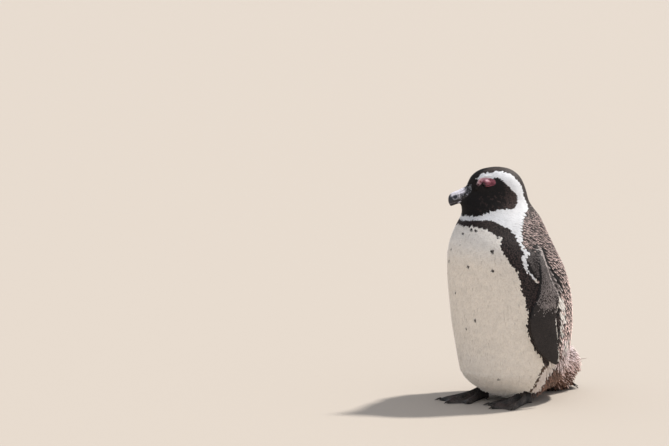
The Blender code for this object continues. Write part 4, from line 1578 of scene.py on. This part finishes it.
for node in ("bill_upper", "bill_lower"):
    horn = voxels(object_of(node + "_horn", merged_copy(node)), BILL_VOXEL)
    relax(horn.data, 14, 0.5)
    horn_at, horn_normals = points_of(horn.data), normals_of(horn.data)
    horn_mm = in_mm(horn_at)
    paint(horn.data, bill_colours(node, horn_mm, horn_normals))
    horn_at += horn_normals * (horn_points(node, horn_mm) * MM)[:, None]
    horn_at[:, 2] += RISE * MM * ramp(on_head(horn_mm)[0], 72, 92)
    put_points(horn.data, horn_at)
    horn.data.shade_smooth()
    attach(horn, "root")
    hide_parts(node)
    print(horn.name, len(horn.data.polygons), "faces")

# %% Bill material: worn keratin, satin, with fine scratches along it
HORN_IOR = 1.54
bill_horn, tree, surface = new_material("worn horn")
wear = noise(tree, 2.5, 6.0)
bumps(tree, surface, wear, 0.5, 0.15)
feed(tree, surface, {
    "Base Color": painted(tree),
    "Roughness": mapped(tree, wear, (0.35, 0.65), (0.28, 0.5)),
    "IOR": HORN_IOR,
})
for node in ("bill_upper", "bill_lower"):
    bpy.data.objects[node + "_horn"].data.materials.append(bill_horn)
print(bill_horn.name, "in", len(tree.nodes), "nodes")

# %% [markdown]
# ## Eyes
# Behind the lids sits a whole eyeball, so the thin slit shows something dark and wet. The
# iris is dark brown round a black pupil, and a clear film gives the glint.

# %% Eyeballs
IRIS, PUPIL = 4.6, 2.2  # radius in mm
EYE = palette(white="5a3a36", iris="2c1710", pupil="050404")
eye_wet, tree, surface = new_material("wet eye")
rays = mapped(tree, noise(tree, 0.8), (0, 1), (0.7, 1.3))
feed(tree, surface, {
    "Base Color": brightened(tree, painted(tree), rays),
    "Roughness": 0.12,
    "Coat Weight": 1.0,
    "Coat Roughness": 0.03,
    "IOR": 1.38,
})
for side in eyes:
    bm = bmesh.new()
    bmesh.ops.create_uvsphere(bm, u_segments=48, v_segments=32, radius=(EYE_RADIUS - 0.05) * MM)
    turn = Vector((0, 0, 1)).rotation_difference(eye_axes(side)[2])
    bmesh.ops.rotate(bm, verts=bm.verts, matrix=turn.to_matrix())
    bmesh.ops.translate(bm, verts=bm.verts, vec=eyes[side])
    ball = object_of("eyeball_" + side, bm)
    ahead, above, outwards = at_eye(points_of(ball.data), side)
    off_axis = np.hypot(ahead, above)
    by_pupil, by_iris = (
        ramp(off_axis, radius - 0.3, radius + 0.3)[:, None] for radius in (PUPIL, IRIS)
    )
    ball_colour = EYE["pupil"] * (1 - by_pupil) + EYE["iris"] * by_pupil
    ball_colour = np.where((outwards > 0)[:, None], ball_colour, EYE["white"])
    paint(ball.data, ball_colour * (1 - by_iris) + EYE["white"] * by_iris)
    ball.data.materials.append(eye_wet)
    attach(ball, "root")
    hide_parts("eye_" + side)
print("eyeballs", 2 * EYE_RADIUS, "mm across")

# %% [markdown]
# ## Feet and claws
# The feet are black and leathery, cut into small scales with pale dust and a painted
# highlight on the tops that face up. Even random seeds about two millimetres apart give the
# scales: the skin sinks where a point is as near to its second seed as to its first. The
# claws are blunt dark horn.

# %% Feet
FOOT_VOXEL = 0.8 * MM
SCALE_PITCH, SCALE_HEIGHT = 2.3, 0.32
# dust: pale dust, with a painted highlight where scale tops face up
LEATHER = palette(crease="0d0c0c", scale="2b2828", dust="6a625d", flush="4a3634")


def scales(points, pitch, seed):
    """0 in the creases between scales and 1 on their tops, and a number for each scale."""
    order = np.random.default_rng(seed).permutation(len(points))
    seeds = points[order][spread(points[order], np.full(len(points), pitch * MM))]
    near = KDTree(len(seeds))
    for i, spot in enumerate(seeds):
        near.insert(spot, i)
    near.balance()
    tops, owner = np.empty(len(points)), np.empty(len(points), int)
    for i, point in enumerate(points):
        (_, owner[i], first), (_, _, second) = near.find_n(point, 2)
        tops[i] = (second - first) / MM
    return ramp(tops, 0, pitch * 0.42), owner


foot_skin, tree, surface = new_material("scaly leather")
grain = noise(tree, 0.7, 4.0)
bumps(tree, surface, grain, 0.5, 0.15)
feed(tree, surface, {
    "Base Color": painted(tree),
    "Roughness": mapped(tree, grain, (0, 1), (0.45, 0.8)),
})
for side in eyes:
    node = "foot_" + side
    foot = voxels(object_of(node + "_skin", merged_copy(node)), FOOT_VOXEL)
    relax(foot.data, 6, 0.5)
    foot_at, foot_normals = points_of(foot.data), normals_of(foot.data)
    tops, owner = scales(foot_at, SCALE_PITCH, 61)
    above = ramp(foot_normals[:, 2], -0.5, 0.1)
    foot_mm = in_mm(foot_at)
    per_scale = np.random.default_rng(62).uniform(-1, 1, owner.max() + 1)[owner]
    colours = np.tile(LEATHER["crease"], (len(foot_at), 1))
    colours = mixed(colours, LEATHER["scale"], tops * (0.8 + 0.3 * per_scale))
    # Scale tops facing up get pale dust and a painted highlight.
    painted_light_and_dust = 0.35 + 0.35 * ripple(foot_mm, 24, 63) + 0.25 * per_scale
    colours = mixed(colours, LEATHER["dust"], tops * above * painted_light_and_dust)
    colours = mixed(colours, LEATHER["flush"], 0.5 * ramp(ripple(foot_mm, 18, 64), 0.1, 0.8) * tops)
    paint(foot.data, colours)
    move = SCALE_HEIGHT * (tops - 0.8) * above
    foot_at += foot_normals * (move * MM)[:, None]
    foot_at[:, 2] = np.maximum(foot_at[:, 2], 0)
    put_points(foot.data, foot_at)
    foot.data.shade_smooth()
    foot.data.materials.append(foot_skin)
    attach(foot, "root")
    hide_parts(node)
    print(foot.name, len(foot.data.polygons), "faces,", owner.max() + 1, "scales")

# %% Claws
CLAW_VOXEL = 0.4 * MM
CLAWS = [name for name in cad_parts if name.startswith("claw_")]
bm = bmesh.new()
for node in CLAWS:
    add_to(bm, merged_copy(node), node)
claws = voxels(object_of("claws", bm), CLAW_VOXEL)
relax(claws.data, 6, 0.4)
claw_at = points_of(claws.data)
put_points(claws.data, np.c_[claw_at[:, :2], np.maximum(claw_at[:, 2], 0)])
claws.data.shade_smooth()
claw_horn, tree, surface = new_material("claw horn")
streaks = noise(tree, 1.6, 5.0)
shade = add(tree, "ShaderNodeValToRGB", {"Fac": streaks})
for stop, place, code in zip(shade.color_ramp.elements, (0.35, 0.7), ("141212", "4d443e")):
    stop.position = place
    stop.color = (*linear(code), 1)
bumps(tree, surface, streaks, 0.4, 0.1)
feed(tree, surface, {"Base Color": shade.outputs["Color"], "Roughness": 0.38, "IOR": HORN_IOR})
claws.data.materials.append(claw_horn)
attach(claws, "root")
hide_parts(*CLAWS)
print("claws", len(claws.data.polygons), "faces")
